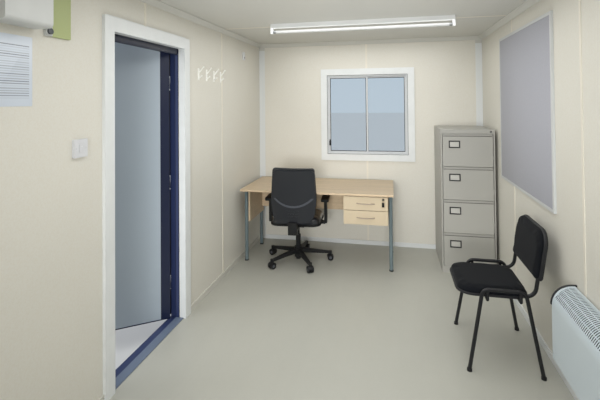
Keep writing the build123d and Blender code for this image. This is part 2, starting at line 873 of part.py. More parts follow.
# Heater: a folded case with a rounded front top edge, open along its top for the grille
heater_x = right - heater_wall_gap
heater_low = floor_z + heater_foot
heater_y = far - heater_far_end
round_x = heater_depth - heater_round
round_z = heater_height - heater_round


def heater_section(start_y, radius, inset):
    """Outline of the heater across its length, each side moved inwards by the inset."""
    section_plane = Plane(origin=(heater_x, start_y, heater_low), x_dir=(-1, 0, 0), z_dir=(0, 1, 0))
    with BuildSketch(section_plane) as section:
        with BuildLine():
            Line((inset, inset), (heater_depth - inset, inset))
            Line((heater_depth - inset, inset), (heater_depth - inset, round_z))
            CenterArc((round_x, round_z), radius, 0, 90)
            Line((round_x, heater_height - inset), (inset, heater_height - inset))
            Line((inset, heater_height - inset), (inset, inset))
        make_face()
    return section.sketch


def grille_section(start_y, from_deg, to_deg, inner, outer):
    """Part of the ring round the heater's rounded edge, between two angles and two radii."""
    section_plane = Plane(origin=(heater_x, start_y, heater_low), x_dir=(-1, 0, 0), z_dir=(0, 1, 0))
    ends = [(math.cos(math.radians(a)), math.sin(math.radians(a))) for a in (from_deg, to_deg)]
    with BuildSketch(section_plane) as section:
        with BuildLine():
            CenterArc((round_x, round_z), outer, from_deg, to_deg - from_deg)
            CenterArc((round_x, round_z), inner, from_deg, to_deg - from_deg)
            for across, up in ends:
                Line((round_x + inner * across, round_z + inner * up),
                     (round_x + outer * across, round_z + outer * up))
        make_face()
    return section.sketch


grille_run = heater_length - 2 * heater_end
with BuildPart() as heater_case:
    extrude(heater_section(heater_y, heater_round, 0.0), amount=-heater_length)
    extrude(heater_section(heater_y - heater_sheet, heater_round - heater_sheet, heater_sheet),
            amount=-(heater_length - 2 * heater_sheet), mode=Mode.SUBTRACT)
    extrude(grille_section(heater_y - heater_end, grille_start, 90.0, heater_round - 2 * heater_sheet,
                           heater_round + heater_sheet), amount=-grille_run, mode=Mode.SUBTRACT)
    for bracket_y in (heater_y - heater_bracket_inset,
                      heater_y - heater_length + heater_bracket_inset):
        block((heater_x, bracket_y - heater_bracket / 2, heater_low + heater_bracket_rise),
              (right, bracket_y + heater_bracket / 2,
               heater_low + heater_height - heater_bracket_rise))
save(heater_case, "heater_case")

# Heater grille: bars along the opening, held by ribs bent over the rounded edge
with BuildPart() as heater_grille:
    grille_outer = heater_round - touch
    grille_inner = grille_outer - grille_thickness
    bar_deg = math.degrees(grille_bar / grille_outer)
    edge_deg = math.degrees(touch / grille_outer)
    span_deg = 90.0 - grille_start - 2 * edge_deg - bar_deg
    for bar in range(grille_bars):
        bar_start = grille_start + edge_deg + bar * span_deg / (grille_bars - 1)
        extrude(grille_section(heater_y - heater_end - touch, bar_start, bar_start + bar_deg,
                               grille_inner, grille_outer), amount=-(grille_run - 2 * touch))
    rib_step = (grille_run - 2 * touch - grille_rib) / (grille_ribs - 1)
    for rib in range(grille_ribs):
        extrude(grille_section(heater_y - heater_end - touch - rib * rib_step,
                               grille_start + edge_deg, 90.0 - edge_deg, grille_inner,
                               grille_outer), amount=-grille_rib)
save(heater_grille, "heater_grille")

# Wall unit, and the green board beside it
unit_y = far - unit_far_end
with BuildPart() as wall_unit:
    block((left, unit_y - unit_width, floor_z + unit_foot),
          (left + unit_depth, unit_y, floor_z + unit_foot + unit_height))
    fillet(wall_unit.edges().filter_by(Axis.Y).sort_by(Axis.X)[-2:], unit_round)
save(wall_unit, "wall_unit")

with BuildPart() as unit_board:
    unit_board_y = far - unit_board_far_end
    block((left, unit_board_y - unit_board_width, floor_z + unit_board_foot),
          (left + unit_board_thickness, unit_board_y,
           floor_z + unit_board_foot + unit_board_height))
save(unit_board, "unit_board")

# Desk: a board top, round legs in two end frames, three panels and a hanging pedestal
desk_x = left + desk_left
desk_back = far - desk_back_gap
desk_front = desk_back - desk_depth
desk_under = floor_z + desk_height - desk_board
with BuildPart() as desk_top:
    block((desk_x, desk_front, desk_under), (desk_x + desk_width, desk_back, desk_under + desk_board))
    fillet(desk_top.edges().filter_by(Axis.Z), desk_corner)
save(desk_top, "desk_top")

leg_places_x = (desk_x + desk_leg_inset, desk_x + desk_width - desk_leg_inset)
leg_places_y = (far - desk_leg_front, far - desk_leg_back)
with BuildPart() as desk_legs:
    for leg_x in leg_places_x:
        with BuildSketch(Plane.XY.offset(floor_z)):
            with Locations(*[(leg_x, leg_y) for leg_y in leg_places_y]):
                Circle(desk_glide_radius)
        extrude(amount=desk_glide_height)
        with BuildSketch(Plane.XY.offset(floor_z + desk_glide_height)):
            with Locations(*[(leg_x, leg_y) for leg_y in leg_places_y]):
                Circle(desk_leg_radius)
        extrude(amount=desk_under - floor_z - desk_glide_height)
        block((leg_x - desk_rail_width / 2, leg_places_y[0], desk_under - desk_rail),
              (leg_x + desk_rail_width / 2, leg_places_y[1], desk_under))
save(desk_legs, "desk_legs")

panel_reach = desk_leg_radius + touch
panel_places_x = (leg_places_x[0] + desk_leg_radius + desk_panel_gap, leg_places_x[1])
with BuildPart() as desk_panels:
    for panel_x in panel_places_x:
        block((panel_x - desk_panel / 2, leg_places_y[0] + panel_reach, floor_z + desk_panel_foot),
              (panel_x + desk_panel / 2, leg_places_y[1] - panel_reach,
               desk_under - desk_rail - touch))
    modesty_y = leg_places_y[1] - modesty_inset
    block((panel_places_x[0] + desk_panel / 2 + touch, modesty_y, floor_z + modesty_foot),
          (leg_places_x[1] - desk_rail_width / 2 - touch, modesty_y + desk_panel, desk_under))
save(desk_panels, "desk_panels")

pedestal_right = leg_places_x[1] - desk_leg_radius - pedestal_leg_gap
pedestal_left = pedestal_right - pedestal_width
pedestal_low = desk_under - pedestal_height
pedestal_y = desk_front + pedestal_setback
case_front = pedestal_y + pedestal_front + drawer_gap
desk_drawer_pitch = (pedestal_height - drawer_gap) / 2
desk_drawer_low = [pedestal_low + desk_drawer_pitch, pedestal_low]
with BuildPart() as pedestal_case:
    block((pedestal_left, case_front, pedestal_low),
          (pedestal_right, case_front + pedestal_depth, desk_under))
    block((pedestal_left + pedestal_board, case_front, pedestal_low + pedestal_board),
          (pedestal_right - pedestal_board, case_front + pedestal_depth - pedestal_board,
           desk_under - drawer_gap), mode=Mode.SUBTRACT)
    for drawer_low in desk_drawer_low:
        runner_z = drawer_low + desk_drawer_pitch / 2
        for side_x, inward in ((pedestal_left + pedestal_board, 1),
                               (pedestal_right - pedestal_board, -1)):
            reach_x = side_x + inward * (drawer_gap - touch)
            block((min(side_x, reach_x), case_front, runner_z),
                  (max(side_x, reach_x), case_front + pedestal_depth - pedestal_board,
                   runner_z + desk_runner_height))
save(pedestal_case, "pedestal_case")

desk_box_width = pedestal_width - 2 * pedestal_board - 2 * drawer_gap
desk_box_depth = pedestal_depth - pedestal_board - drawer_gap - drawer_gap
for number, drawer_low in enumerate(desk_drawer_low, start=1):
    front_high = drawer_low + desk_drawer_pitch - drawer_gap
    box_low = max(drawer_low + drawer_gap, pedestal_low + pedestal_board + drawer_gap)
    box_high = front_high - drawer_gap
    box_left = pedestal_left + pedestal_board + drawer_gap
    box_back = case_front + desk_box_depth
    with BuildPart() as desk_drawer:
        block((pedestal_left, pedestal_y, drawer_low),
              (pedestal_right, pedestal_y + pedestal_front, front_high))
        block((box_left, pedestal_y + pedestal_front, box_low),
              (box_left + desk_box_width, box_back, box_high))
        block((box_left + drawer_side, pedestal_y + pedestal_front, box_low + drawer_floor),
              (box_left + desk_box_width - drawer_side, box_back - drawer_side, box_high),
              mode=Mode.SUBTRACT)
        bow_x = (pedestal_left + pedestal_right) / 2
        bow_z = (drawer_low + front_high) / 2
        bow_ends = (bow_x - bow_length / 2, bow_x + bow_length / 2)
        with BuildLine(Plane.XY.offset(bow_z)) as bow_path:
            ThreePointArc((bow_ends[0], pedestal_y + 1.0), (bow_x, pedestal_y - bow_reach),
                          (bow_ends[1], pedestal_y + 1.0))
        with BuildSketch(Plane(origin=bow_path.line @ 0, z_dir=bow_path.line % 0)):
            Circle(bow_radius)
        sweep(path=bow_path.wires()[0])
        block((bow_ends[0] - bow_foot, pedestal_y, bow_z - bow_foot),
              (bow_ends[1] + bow_foot, pedestal_y + bow_foot_thickness, bow_z + bow_foot))
    save(desk_drawer, "desk_drawer_" + str(number))

# Filing cabinet: a folded steel case and four deep drawers
cabinet_x = right - cabinet_wall_gap - cabinet_width
cabinet_back = far - cabinet_back_gap
cabinet_y = cabinet_back - cabinet_depth
cabinet_top = floor_z + cabinet_height
cabinet_first = floor_z + cabinet_plinth
cabinet_last = cabinet_top - cabinet_head
cabinet_pitch = (cabinet_last - cabinet_first) / cabinet_drawers
drawer_left = cabinet_x + cabinet_return + drawer_gap
drawer_right = cabinet_x + cabinet_width - cabinet_return - drawer_gap
with BuildPart() as cabinet_case:
    block((cabinet_x, cabinet_y, floor_z), (cabinet_x + cabinet_width, cabinet_back, cabinet_top))
    block((cabinet_x + cabinet_wall, cabinet_y + cabinet_wall, cabinet_first),
          (cabinet_x + cabinet_width - cabinet_wall, cabinet_back - cabinet_wall, cabinet_last),
          mode=Mode.SUBTRACT)
    block((cabinet_x + cabinet_return, cabinet_y, cabinet_first),
          (cabinet_x + cabinet_width - cabinet_return, cabinet_y + cabinet_wall, cabinet_last),
          mode=Mode.SUBTRACT)
    block((cabinet_x + 2 * cabinet_wall, cabinet_y + cabinet_inset, floor_z),
          (cabinet_x + cabinet_width - 2 * cabinet_wall, cabinet_back - cabinet_inset,
           cabinet_first - cabinet_wall), mode=Mode.SUBTRACT)
    block((cabinet_x + cabinet_wall, cabinet_y + cabinet_wall, cabinet_last),
          (cabinet_x + cabinet_width - cabinet_wall, cabinet_back - cabinet_wall,
           cabinet_top - cabinet_wall), mode=Mode.SUBTRACT)
    for number in range(cabinet_drawers):
        runner_z = cabinet_first + number * cabinet_pitch + cabinet_runner_rise
        for side_x, reach_x in ((cabinet_x + cabinet_wall, drawer_left - touch),
                                (cabinet_x + cabinet_width - cabinet_wall, drawer_right + touch)):
            block((min(side_x, reach_x), cabinet_y + cabinet_front, runner_z),
                  (max(side_x, reach_x), cabinet_y + cabinet_front + cabinet_runner_length,
                   runner_z + cabinet_runner_height))
save(cabinet_case, "cabinet_case")

for number in range(1, cabinet_drawers + 1):
    drawer_high = cabinet_last - (number - 1) * cabinet_pitch - drawer_gap / 2
    drawer_low = drawer_high - cabinet_pitch + drawer_gap
    box_low = drawer_low + cabinet_drawer_rise
    box_high = drawer_high - cabinet_drawer_drop
    box_back = cabinet_y + cabinet_drawer_depth
    with BuildPart() as cabinet_drawer:
        block((drawer_left, cabinet_y, drawer_low),
              (drawer_right, cabinet_y + cabinet_front, drawer_high))
        block((drawer_left, cabinet_y + cabinet_front, box_low), (drawer_right, box_back, box_high))
        block((drawer_left + cabinet_wall, cabinet_y + cabinet_front, box_low + cabinet_wall),
              (drawer_right - cabinet_wall, box_back - cabinet_wall, box_high), mode=Mode.SUBTRACT)
        block((drawer_left, cabinet_y, drawer_high - pull_height),
              (drawer_right, cabinet_y + pull_depth, drawer_high), mode=Mode.SUBTRACT)
    save(cabinet_drawer, "cabinet_drawer_" + str(number))

# Office chair: a five-legged base on twin castors
chair_x = left + office_x
chair_y = far - office_from_window_wall
chair_axis = Axis((chair_x, chair_y, floor_z), (0, 0, 1))


def star_section(section_plane, size):
    """Section of a leg of the base from its top, height and half width, upper edges cut off."""
    top, height, half_width = size
    cut = star_cut * height
    with BuildSketch(section_plane) as section:
        Polygon((top - height, -half_width), (top - height, half_width), (top - cut, half_width),
                (top, half_width - cut), (top, cut - half_width), (top - cut, -half_width),
                align=None)
    return section.sketch


def upright(centre, radius, low, high):
    """Add an upright cylinder between two heights above the floor."""
    middle = floor_z + (low + high) / 2
    with Locations((centre[0], centre[1], middle)):
        Cylinder(radius, high - low)


with BuildPart() as office_chair_base:
    upright((chair_x, chair_y), hub_radius, hub_low_height, hub_high_height)
    upright((chair_x, chair_y), lift_radius, lift_foot, lift_top)
    upright((chair_x, chair_y), lift_rod_radius, lift_top, office_seat_foot - mechanism_size[2])
    for leg in range(star_legs):
        turn = math.radians(star_turn + leg * 360.0 / star_legs)
        ahead = (math.cos(turn), math.sin(turn), 0)
        leg_plane = Plane(origin=(chair_x, chair_y, floor_z), x_dir=(0, 0, 1), z_dir=ahead)
        loft(sections=[star_section(leg_plane.offset(hub_radius - castor_split), star_root),
                       star_section(leg_plane.offset(star_radius), star_tip)], ruled=True)
        tip = (chair_x + star_radius * ahead[0], chair_y + star_radius * ahead[1])
        upright(tip, boss_radius, 2 * castor_radius + castor_gap, star_tip[0])
        upright(tip, castor_split / 2 + touch, castor_radius, 2 * castor_radius + castor_gap)
        axle = Plane(origin=(tip[0], tip[1], floor_z + castor_radius), x_dir=(0, 0, 1),
                     z_dir=(-ahead[1], ahead[0], 0))
        with BuildSketch(axle.offset(-castor_width - castor_split / 2)) as wheel:
            Circle(castor_radius)
        extrude(wheel.sketch, amount=castor_width)
        with BuildSketch(axle.offset(castor_split / 2)) as wheel:
            Circle(castor_radius)
        extrude(wheel.sketch, amount=castor_width)
        with BuildSketch(axle.offset(-castor_split / 2)) as core:
            Circle(castor_core)
        extrude(core.sketch, amount=castor_split)
save(office_chair_base, "office_chair_base")

# Office chair, upper part, turned a little on its base: mechanism, arms and the bar to the back
seat_under = floor_z + office_seat_foot
mechanism_low = seat_under - mechanism_size[2]
back_outer = far - office_back_from_window_wall
with BuildPart() as office_chair_frame:
    block((chair_x - mechanism_size[0] / 2, chair_y - mechanism_setback - mechanism_size[1] / 2,
           mechanism_low),
          (chair_x + mechanism_size[0] / 2, chair_y - mechanism_setback + mechanism_size[1] / 2,
           seat_under - touch))
    block((chair_x - back_bar[0] / 2, back_outer - back_cover[1] / 2, mechanism_low),
          (chair_x + back_bar[0] / 2, chair_y, mechanism_low + back_bar[1]))
    cover_high = floor_z + office_back_foot + back_cover_rise
    with Locations((chair_x, back_outer - touch - back_cover[1] / 2,
                    cover_high - back_cover[2] / 2)):
        cover = Box(*back_cover)
    fillet(cover.edges().filter_by(Axis.Z).sort_by(Axis.Y)[:2], back_cover_round)
    block((chair_x - arm_offset, chair_y - arm_post[1] / 2, seat_under - arm_bar),
          (chair_x + arm_offset, chair_y + arm_post[1] / 2, seat_under - touch))
    arm_high = floor_z + arm_pad_top
    for arm_x in (chair_x - arm_offset, chair_x + arm_offset):
        block((arm_x - arm_post[0] / 2, chair_y - arm_post[1] / 2, seat_under - arm_bar),
              (arm_x + arm_post[0] / 2, chair_y + arm_post[1] / 2, arm_high - arm_pad_edge))
        with BuildSketch(Plane.XY.offset(arm_high - arm_pad_size[2])) as pad_outline:
            with Locations((arm_x, chair_y)):
                RectangleRounded(arm_pad_size[0], arm_pad_size[1], arm_pad_round)
        extrude(pad_outline.sketch, amount=arm_pad_size[2])
    fillet(office_chair_frame.edges().group_by(Axis.Z)[-1], arm_pad_edge)
    with Locations((chair_x + seat_lever[1] / 2, chair_y + seat_lever[2], mechanism_low + seat_lever[0])):
        Cylinder(seat_lever[0], seat_lever[1], rotation=(0, 90, 0))
    with Locations((chair_x + seat_lever[1], chair_y + seat_lever[2], mechanism_low + seat_lever[0])):
        Box(*seat_paddle)
save(office_chair_frame, "office_chair_frame", office_turn)

with BuildPart() as office_chair_seat:
    with BuildSketch(Plane.XY.offset(seat_under)):
        with Locations((chair_x, chair_y - office_seat_setback)):
            RectangleRounded(office_seat_width, office_seat_depth, office_seat_corner)
    extrude(amount=office_seat_thickness)
    fillet(office_chair_seat.edges().group_by(Axis.Z)[-1], office_seat_edges[1])
    fillet(office_chair_seat.edges().group_by(Axis.Z)[0], office_seat_edges[0])
save(office_chair_seat, "office_chair_seat", office_turn)


def back_outline(margin, head):
    """Outline of the chair's back seen from behind, widest below its middle."""
    foot = office_back_foot + margin
    waist = foot + office_back_waist * (head - foot)
    half = [(office_back_foot_width / 2 - margin, foot), (office_back_width / 2 - margin, waist),
            (office_back_top_width / 2 - margin, head)]
    mirrored = [(-across, up) for across, up in reversed(half)]
    with BuildSketch(behind_back) as outline:
        Polygon(*half, *mirrored, align=None)
        for row, corner in ((1, office_back_corners[1]), (0, office_back_corners[0]),
                            (-1, office_back_corners[2])):
            fillet(outline.vertices().group_by(Axis.Y)[row], corner)
    return outline.sketch


def bent_layer(outer_radius, thickness, outline):
    """A layer of the back between two radii about its upright bend, cut to an outline."""
    with BuildPart() as layer:
        with BuildSketch(Plane.XY.offset(floor_z)) as ring:
            with Locations((chair_x, back_outer + office_back_bend)):
                Circle(outer_radius)
                Circle(outer_radius - thickness, mode=Mode.SUBTRACT)
        extrude(ring.sketch, amount=office_back_head + office_back_shell)
        extrude(outline, amount=-office_back_bend / 2, mode=Mode.INTERSECT)
    return layer.part


# Back: a bent shell with a raised arc on its rear face, and the padding in front of it
behind_back = Plane(origin=(chair_x, back_outer - office_back_shell, floor_z), x_dir=(1, 0, 0),
                    z_dir=(0, -1, 0))
with BuildSketch(behind_back) as ridge_outline:
    ridge_centre = office_ridge_foot + office_ridge_radius
    with BuildLine():
        for ridge_edge in (office_ridge_radius, office_ridge_radius - office_ridge_width):
            CenterArc((0, ridge_centre), ridge_edge, 270.0 - office_ridge_reach,
                      2 * office_ridge_reach)
        for side in (-1, 1):
            slope = math.radians(270.0 + side * office_ridge_reach)
            Line(*[(edge * math.cos(slope), ridge_centre + edge * math.sin(slope))
                   for edge in (office_ridge_radius - office_ridge_width, office_ridge_radius)])
    make_face()
with BuildPart() as office_chair_back:
    add(bent_layer(office_back_bend, office_back_shell, back_outline(0.0, office_back_head)))
    add(bent_layer(office_back_bend + office_ridge_rise, 2 * office_ridge_rise,
                   ridge_outline.sketch))
save(office_chair_back, "office_chair_back", office_turn)

with BuildPart() as office_chair_back_pad:
    add(bent_layer(office_back_bend - office_back_shell - touch, office_back_pad,
                   back_outline(office_pad_margin, office_back_head + office_pad_rise)))
save(office_chair_back_pad, "office_chair_back_pad", office_turn)

# Visitor chair: two bent tube sides, a riser beside each, and two bars under the seat
rail_z = floor_z + visitor_rail_height
front_x = right - visitor_front_gap
rear_x = right - visitor_rear_gap
side_places = ((far - visitor_near, -1), (far - visitor_far, 1))
visitor_y = (side_places[0][0] + side_places[1][0]) / 2
seat_low = rail_z - visitor_seat_drop
tube_end = floor_z + visitor_foot_height - visitor_foot_socket
rail_ends = (front_x + visitor_front_rake, rear_x - visitor_rear_rake)
lean = math.radians(visitor_lean_deg)
lean_up = (math.sin(lean), 0, math.cos(lean))
back_foot_x = right - visitor_back_gap
back_foot_z = floor_z + visitor_back_foot
riser_z = rail_z - visitor_riser_drop
riser_x = back_foot_x - (back_foot_z - riser_z) * math.tan(lean)
riser_top = (back_foot_x + visitor_riser_hold * lean_up[0],
             back_foot_z + visitor_riser_hold * lean_up[2])
with BuildPart() as visitor_chair_frame:
    for side_y, outward in side_places:
        foot_y = side_y + outward * visitor_splay
        with BuildLine() as side_path:
            FilletPolyline((front_x, foot_y, tube_end), (rail_ends[0], side_y, rail_z),
                           (rail_ends[1], side_y, rail_z), (rear_x, foot_y, tube_end),
                           radius=visitor_rail_bend)
        riser_y = side_y - outward * visitor_riser_inset
        with BuildLine() as riser_path:
            FilletPolyline((rail_ends[1] - visitor_riser_start, riser_y, riser_z),
                           (riser_x, riser_y, riser_z), (riser_top[0], riser_y, riser_top[1]),
                           radius=visitor_riser_bend)
        for path in (side_path, riser_path):
            with BuildSketch(Plane(origin=path.line @ 0, z_dir=path.line % 0)):
                Circle(visitor_tube)
            sweep(path=path.wires()[0])
        for foot_x in (front_x, rear_x):
            upright((foot_x, foot_y), visitor_foot_radius, 0.0, visitor_foot_height)
    bar_z = seat_low - visitor_bar - touch
    for bar_x in (rail_ends[0] + visitor_bar_inset, rail_ends[1] - visitor_bar_inset):
        with Locations((bar_x, visitor_y, bar_z)):
            Cylinder(visitor_bar, side_places[1][0] - side_places[0][0], rotation=(90, 0, 0))
        for side_y, outward in side_places:
            upright((bar_x, side_y), visitor_bar, bar_z - floor_z, visitor_rail_height)
save(visitor_chair_frame, "visitor_chair_frame")

seat_front = front_x - visitor_seat_overhang
with BuildPart() as visitor_chair_seat:
    with BuildSketch(Plane.XY.offset(seat_low)):
        with Locations((seat_front + visitor_seat_depth / 2, visitor_y)):
            RectangleRounded(visitor_seat_depth, visitor_seat_width, visitor_seat_corner)
    extrude(amount=visitor_seat_thickness)
    fillet(visitor_chair_seat.edges().group_by(Axis.Z)[-1], visitor_seat_edge)
save(visitor_chair_seat, "visitor_chair_seat")

# Visitor chair back: it slides down over the two risers, which end inside it
bore_radius = visitor_tube + touch
with BuildPart() as visitor_chair_back:
    pad_plane = Plane(origin=(back_foot_x, visitor_y, back_foot_z), x_dir=(0, -1, 0),
                      z_dir=(-lean_up[2], 0, lean_up[0]))
    with BuildSketch(pad_plane.offset(-visitor_back_thickness / 2)) as back_shape:
        with Locations((0, visitor_back_height / 2)):
            Rectangle(visitor_back_width, visitor_back_height)
        fillet(back_shape.vertices().group_by(Axis.Y)[-1], visitor_back_corner)
        fillet(back_shape.vertices().group_by(Axis.Y)[0], visitor_back_foot_corner)
    extrude(amount=visitor_back_thickness)
    for side_y, outward in side_places:
        bore_start = (back_foot_x, side_y - outward * visitor_riser_inset, back_foot_z)
        with BuildSketch(Plane(origin=bore_start, x_dir=(0, 1, 0), z_dir=lean_up)) as bore:
            Circle(bore_radius)
        extrude(bore.sketch, amount=visitor_riser_hold + touch, mode=Mode.SUBTRACT)
save(visitor_chair_back, "visitor_chair_back")
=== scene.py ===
from functools import partial
import math

import bmesh
import bpy
from mathutils import Matrix, Vector


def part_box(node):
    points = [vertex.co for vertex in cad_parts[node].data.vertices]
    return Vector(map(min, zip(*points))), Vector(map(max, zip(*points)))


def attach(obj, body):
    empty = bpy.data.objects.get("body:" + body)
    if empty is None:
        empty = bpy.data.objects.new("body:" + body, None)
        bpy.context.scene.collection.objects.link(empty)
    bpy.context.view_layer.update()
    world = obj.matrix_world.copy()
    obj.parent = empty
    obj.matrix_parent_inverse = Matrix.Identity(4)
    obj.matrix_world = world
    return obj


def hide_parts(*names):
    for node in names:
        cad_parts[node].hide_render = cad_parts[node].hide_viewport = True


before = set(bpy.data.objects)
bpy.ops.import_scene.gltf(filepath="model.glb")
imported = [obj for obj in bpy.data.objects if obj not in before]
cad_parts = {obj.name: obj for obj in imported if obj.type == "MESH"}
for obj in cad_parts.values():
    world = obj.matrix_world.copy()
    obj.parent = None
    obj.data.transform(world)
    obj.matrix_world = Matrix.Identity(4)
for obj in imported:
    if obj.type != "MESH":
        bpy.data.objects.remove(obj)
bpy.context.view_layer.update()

bl_info = {
    "name": "Portable site cabin",
    "version": (1, 0, 0),
    "blender": (4, 5, 0),
    "location": "View3D > Sidebar > Cabin",
    "description": "Dresses the CAD model of a portable site cabin and its furniture",
    "category": "Object",
}

MM = 0.001
CEILING_JOINTS = (1.82, 0.6, -0.62, -1.84)
DOOR_HINGE = Vector((-1.35, 1.0925, 0.0))
DOOR_OPEN = math.radians(53)
CUSHION_ANGLE = 60

# The camera that was fitted to the photograph.
CAMERA_PLACE = (0.2893, -1.7621, 1.7655)
CAMERA_YAW = 0.2159
CAMERA_PITCH = math.radians(0.906)
CAMERA_ROLL = math.radians(-0.524)
CAMERA_LENS = 24.986
CAMERA_SHIFT = -0.1754


def linear(code):
    """Turn an sRGB hex colour into the linear colour that a shader takes."""
    parts = [int(code[i:i + 2], 16) / 255 for i in (1, 3, 5)]
    return tuple(c / 12.92 if c <= 0.04045 else ((c + 0.055) / 1.055) ** 2.4 for c in parts) + (1.0,)


def colour_prop(name, code, about):
    """A colour that a user would change, kept as the linear colour of a hex value."""
    return bpy.props.FloatVectorProperty(name=name, description=about, default=linear(code),
                                         subtype="COLOR", size=4, min=0.0, max=1.0)


def value_prop(name, value, about, unit="NONE"):
    """A size or a strength that a user would change."""
    return bpy.props.FloatProperty(name=name, description=about, default=value, min=0.0, unit=unit)


class CabinColours(bpy.types.PropertyGroup):
    """Finishes of the cabin and of what stands in it."""

    frame_navy: colour_prop("Frame paint", "#1F2743", "Enamel on the frames, posts and door")
    cladding_navy: colour_prop("Cladding paint", "#2C3A63", "Coating on the ribbed wall sheets")
    roof_grey: colour_prop("Roof coating", "#9EA1A1", "Coating on the roof sheet")
    wall_cream: colour_prop("Wall vinyl", "#D4D2C9", "Facing of the wall boards")
    ceiling_cream: colour_prop("Ceiling vinyl", "#C6C6C0", "Facing of the ceiling boards and coving")
    floor_beige: colour_prop("Floor vinyl", "#B4B4AB", "Sheet flooring")
    trim_white: colour_prop("White trim", "#D9DCDC", "Architraves, skirting and corner trims")
    strip_cream: colour_prop("Cover strips", "#DDD8CB", "Strips over the board joints")
    board_lilac: colour_prop("Pin board felt", "#A2A3AB", "Felt of the pin board")
    beech: colour_prop("Beech", "#C3AF93", "Desk top, panels and drawers")
    desk_steel: colour_prop("Desk legs", "#68767A", "Powder coat of the desk legs")
    cabinet_grey: colour_prop("Filing cabinet", "#A4A39D", "Enamel of the filing cabinet")
    heater_white: colour_prop("Heater", "#C3CED4", "Enamel of the heater")
    lining_grey: colour_prop("Door lining", "#A1ACB5", "Facing inside the door leaf")
    chair_black: colour_prop("Chair covers", "#0F1115", "Covers of both chairs")
    shell_charcoal: colour_prop("Chair shell", "#232529", "Moulded back shell of the office chair")
    rubber_black: colour_prop("Rubber", "#131416", "Door seals, gaskets and window catch")
    unit_green: colour_prop("Unit board", "#A9B37A", "Green part of the plate behind the wall unit")


class CabinLamps(bpy.types.PropertyGroup):
    """Strength of the lamps and of the sky."""

    room_power: value_prop("Room lamp", 36.0, "Lamp under the ceiling", "POWER")
    low_power: value_prop("Low lamp", 10.5, "Soft lamp that lights the ceiling", "POWER")
    near_power: value_prop("Near lamp", 21.0, "Soft lamp behind the camera", "POWER")
    outside_power: value_prop("Outside lamps", 120.0, "Each lamp outside the door and the window", "POWER")
    sky: value_prop("Sky", 0.95, "Strength of the light from all round")


class CabinSizes(bpy.types.PropertyGroup):
    """Sizes of the small pieces, and how full the cushions are."""

    washer_radius: value_prop("Screw washer", 9.0 * MM, "Radius of a cladding screw's washer", "LENGTH")
    grille_pitch: value_prop("Grille pitch", 14.0 * MM, "Spacing of the bars over the heater", "LENGTH")
    label_width: value_prop("Label width", 100.0 * MM, "Width of a drawer's label frame", "LENGTH")
    label_height: value_prop("Label height", 68.0 * MM, "Height of a drawer's label frame", "LENGTH")
    voxel: value_prop("Cushion mesh", 6.0 * MM, "Spacing of a cushion's mesh before it swells", "LENGTH")
    swell: value_prop("Cushion swell", 9.0 * MM, "The furthest that a cushion's face may swell", "LENGTH")
    weave: value_prop("Weave", 3.0 * MM, "Thread of the visitor chair's cover", "LENGTH")


def output_of(source):
    """The first output in use of a node, or an output itself."""
    return next(out for out in source.outputs if out.enabled) if hasattr(source, "outputs") else source


def add_node(tree, kind, settings=None, links=None):
    """Add a shader node with its settings and its links. One link by itself goes to the first input."""
    made = tree.nodes.new("ShaderNode" + kind)
    for key, value in (settings or {}).items():
        if isinstance(key, int) or key in made.inputs:
            made.inputs[key].default_value = value
        else:
            setattr(made, key, value)
    if links and not isinstance(links, dict):
        links = {0: links}
    for key, source in (links or {}).items():
        tree.links.new(output_of(source), made.inputs[key])
    return made


def new_material(name):
    """A material with its shader: the material, a call that adds nodes to it, and the place on the object."""
    made = bpy.data.materials.new(name)
    made.use_nodes = True
    made.node_tree.nodes.clear()
    add = partial(add_node, made.node_tree)
    add("OutputMaterial", links=add("BsdfPrincipled"))
    return made, add, add("TexCoord").outputs["Object"]


def dress(material, tint=None, bump=None, gloss=None, values=None):
    """Drive a material's shader, from nodes or from patterns.

    A pattern for the tint comes with its two end colours, one for the bump with its strength and depth,
    and one for the gloss with its two end roughnesses. Values are set on the shader itself.
    """
    tree = material.node_tree
    shader = tree.nodes["Principled BSDF"]
    add = partial(add_node, tree)
    if isinstance(tint, tuple):
        tint = add("Mix", {"data_type": "RGBA", 6: tint[1], 7: tint[2]}, tint[0])
    if isinstance(bump, tuple):
        bump = add("Bump", {"Strength": bump[1], "Distance": bump[2]}, {"Height": bump[0]})
    if isinstance(gloss, tuple):
        gloss = add("MapRange", {"To Min": gloss[1], "To Max": gloss[2]}, gloss[0])
    for name, source in (("Base Color", tint), ("Normal", bump), ("Roughness", gloss)):
        if source:
            tree.links.new(output_of(source), shader.inputs[name])
    for name, value in (values or {}).items():
        shader.inputs[name].default_value = value
    return material


def shade(colour, factor):
    """The same colour, lighter or darker."""
    return tuple(min(1.0, c * factor) for c in colour[:3]) + (1.0,)


def per_metre(size_mm):
    """Noise scale whose features are about that many millimetres."""
    return 1000.0 / size_mm


def wave_scale(thread):
    """Wave scale whose bands repeat about every three threads of that width."""
    return 0.1 / thread


def stretch(axis, share):
    """Mapping scale that draws a pattern out along one axis."""
    return [share if k == axis else 1.0 for k in range(3)]


def sprayed_enamel(name, colour, roughness=0.34, peel_mm=7.0):
    """Enamel sprayed on sheet steel: orange peel breaks its highlight, and the coat varies a little."""
    made, add, place = new_material(name)
    cloudy = add("TexNoise", {"Scale": per_metre(420), "Detail": 4.0}, place)
    peel = add("TexNoise", {"Scale": per_metre(peel_mm), "Detail": 2.0}, place)
    return dress(made, (cloudy, shade(colour, 0.94), shade(colour, 1.06)), (peel, 0.5, 0.06 * MM),
                 (cloudy, roughness - 0.05, roughness + 0.09), {"IOR": 1.5})


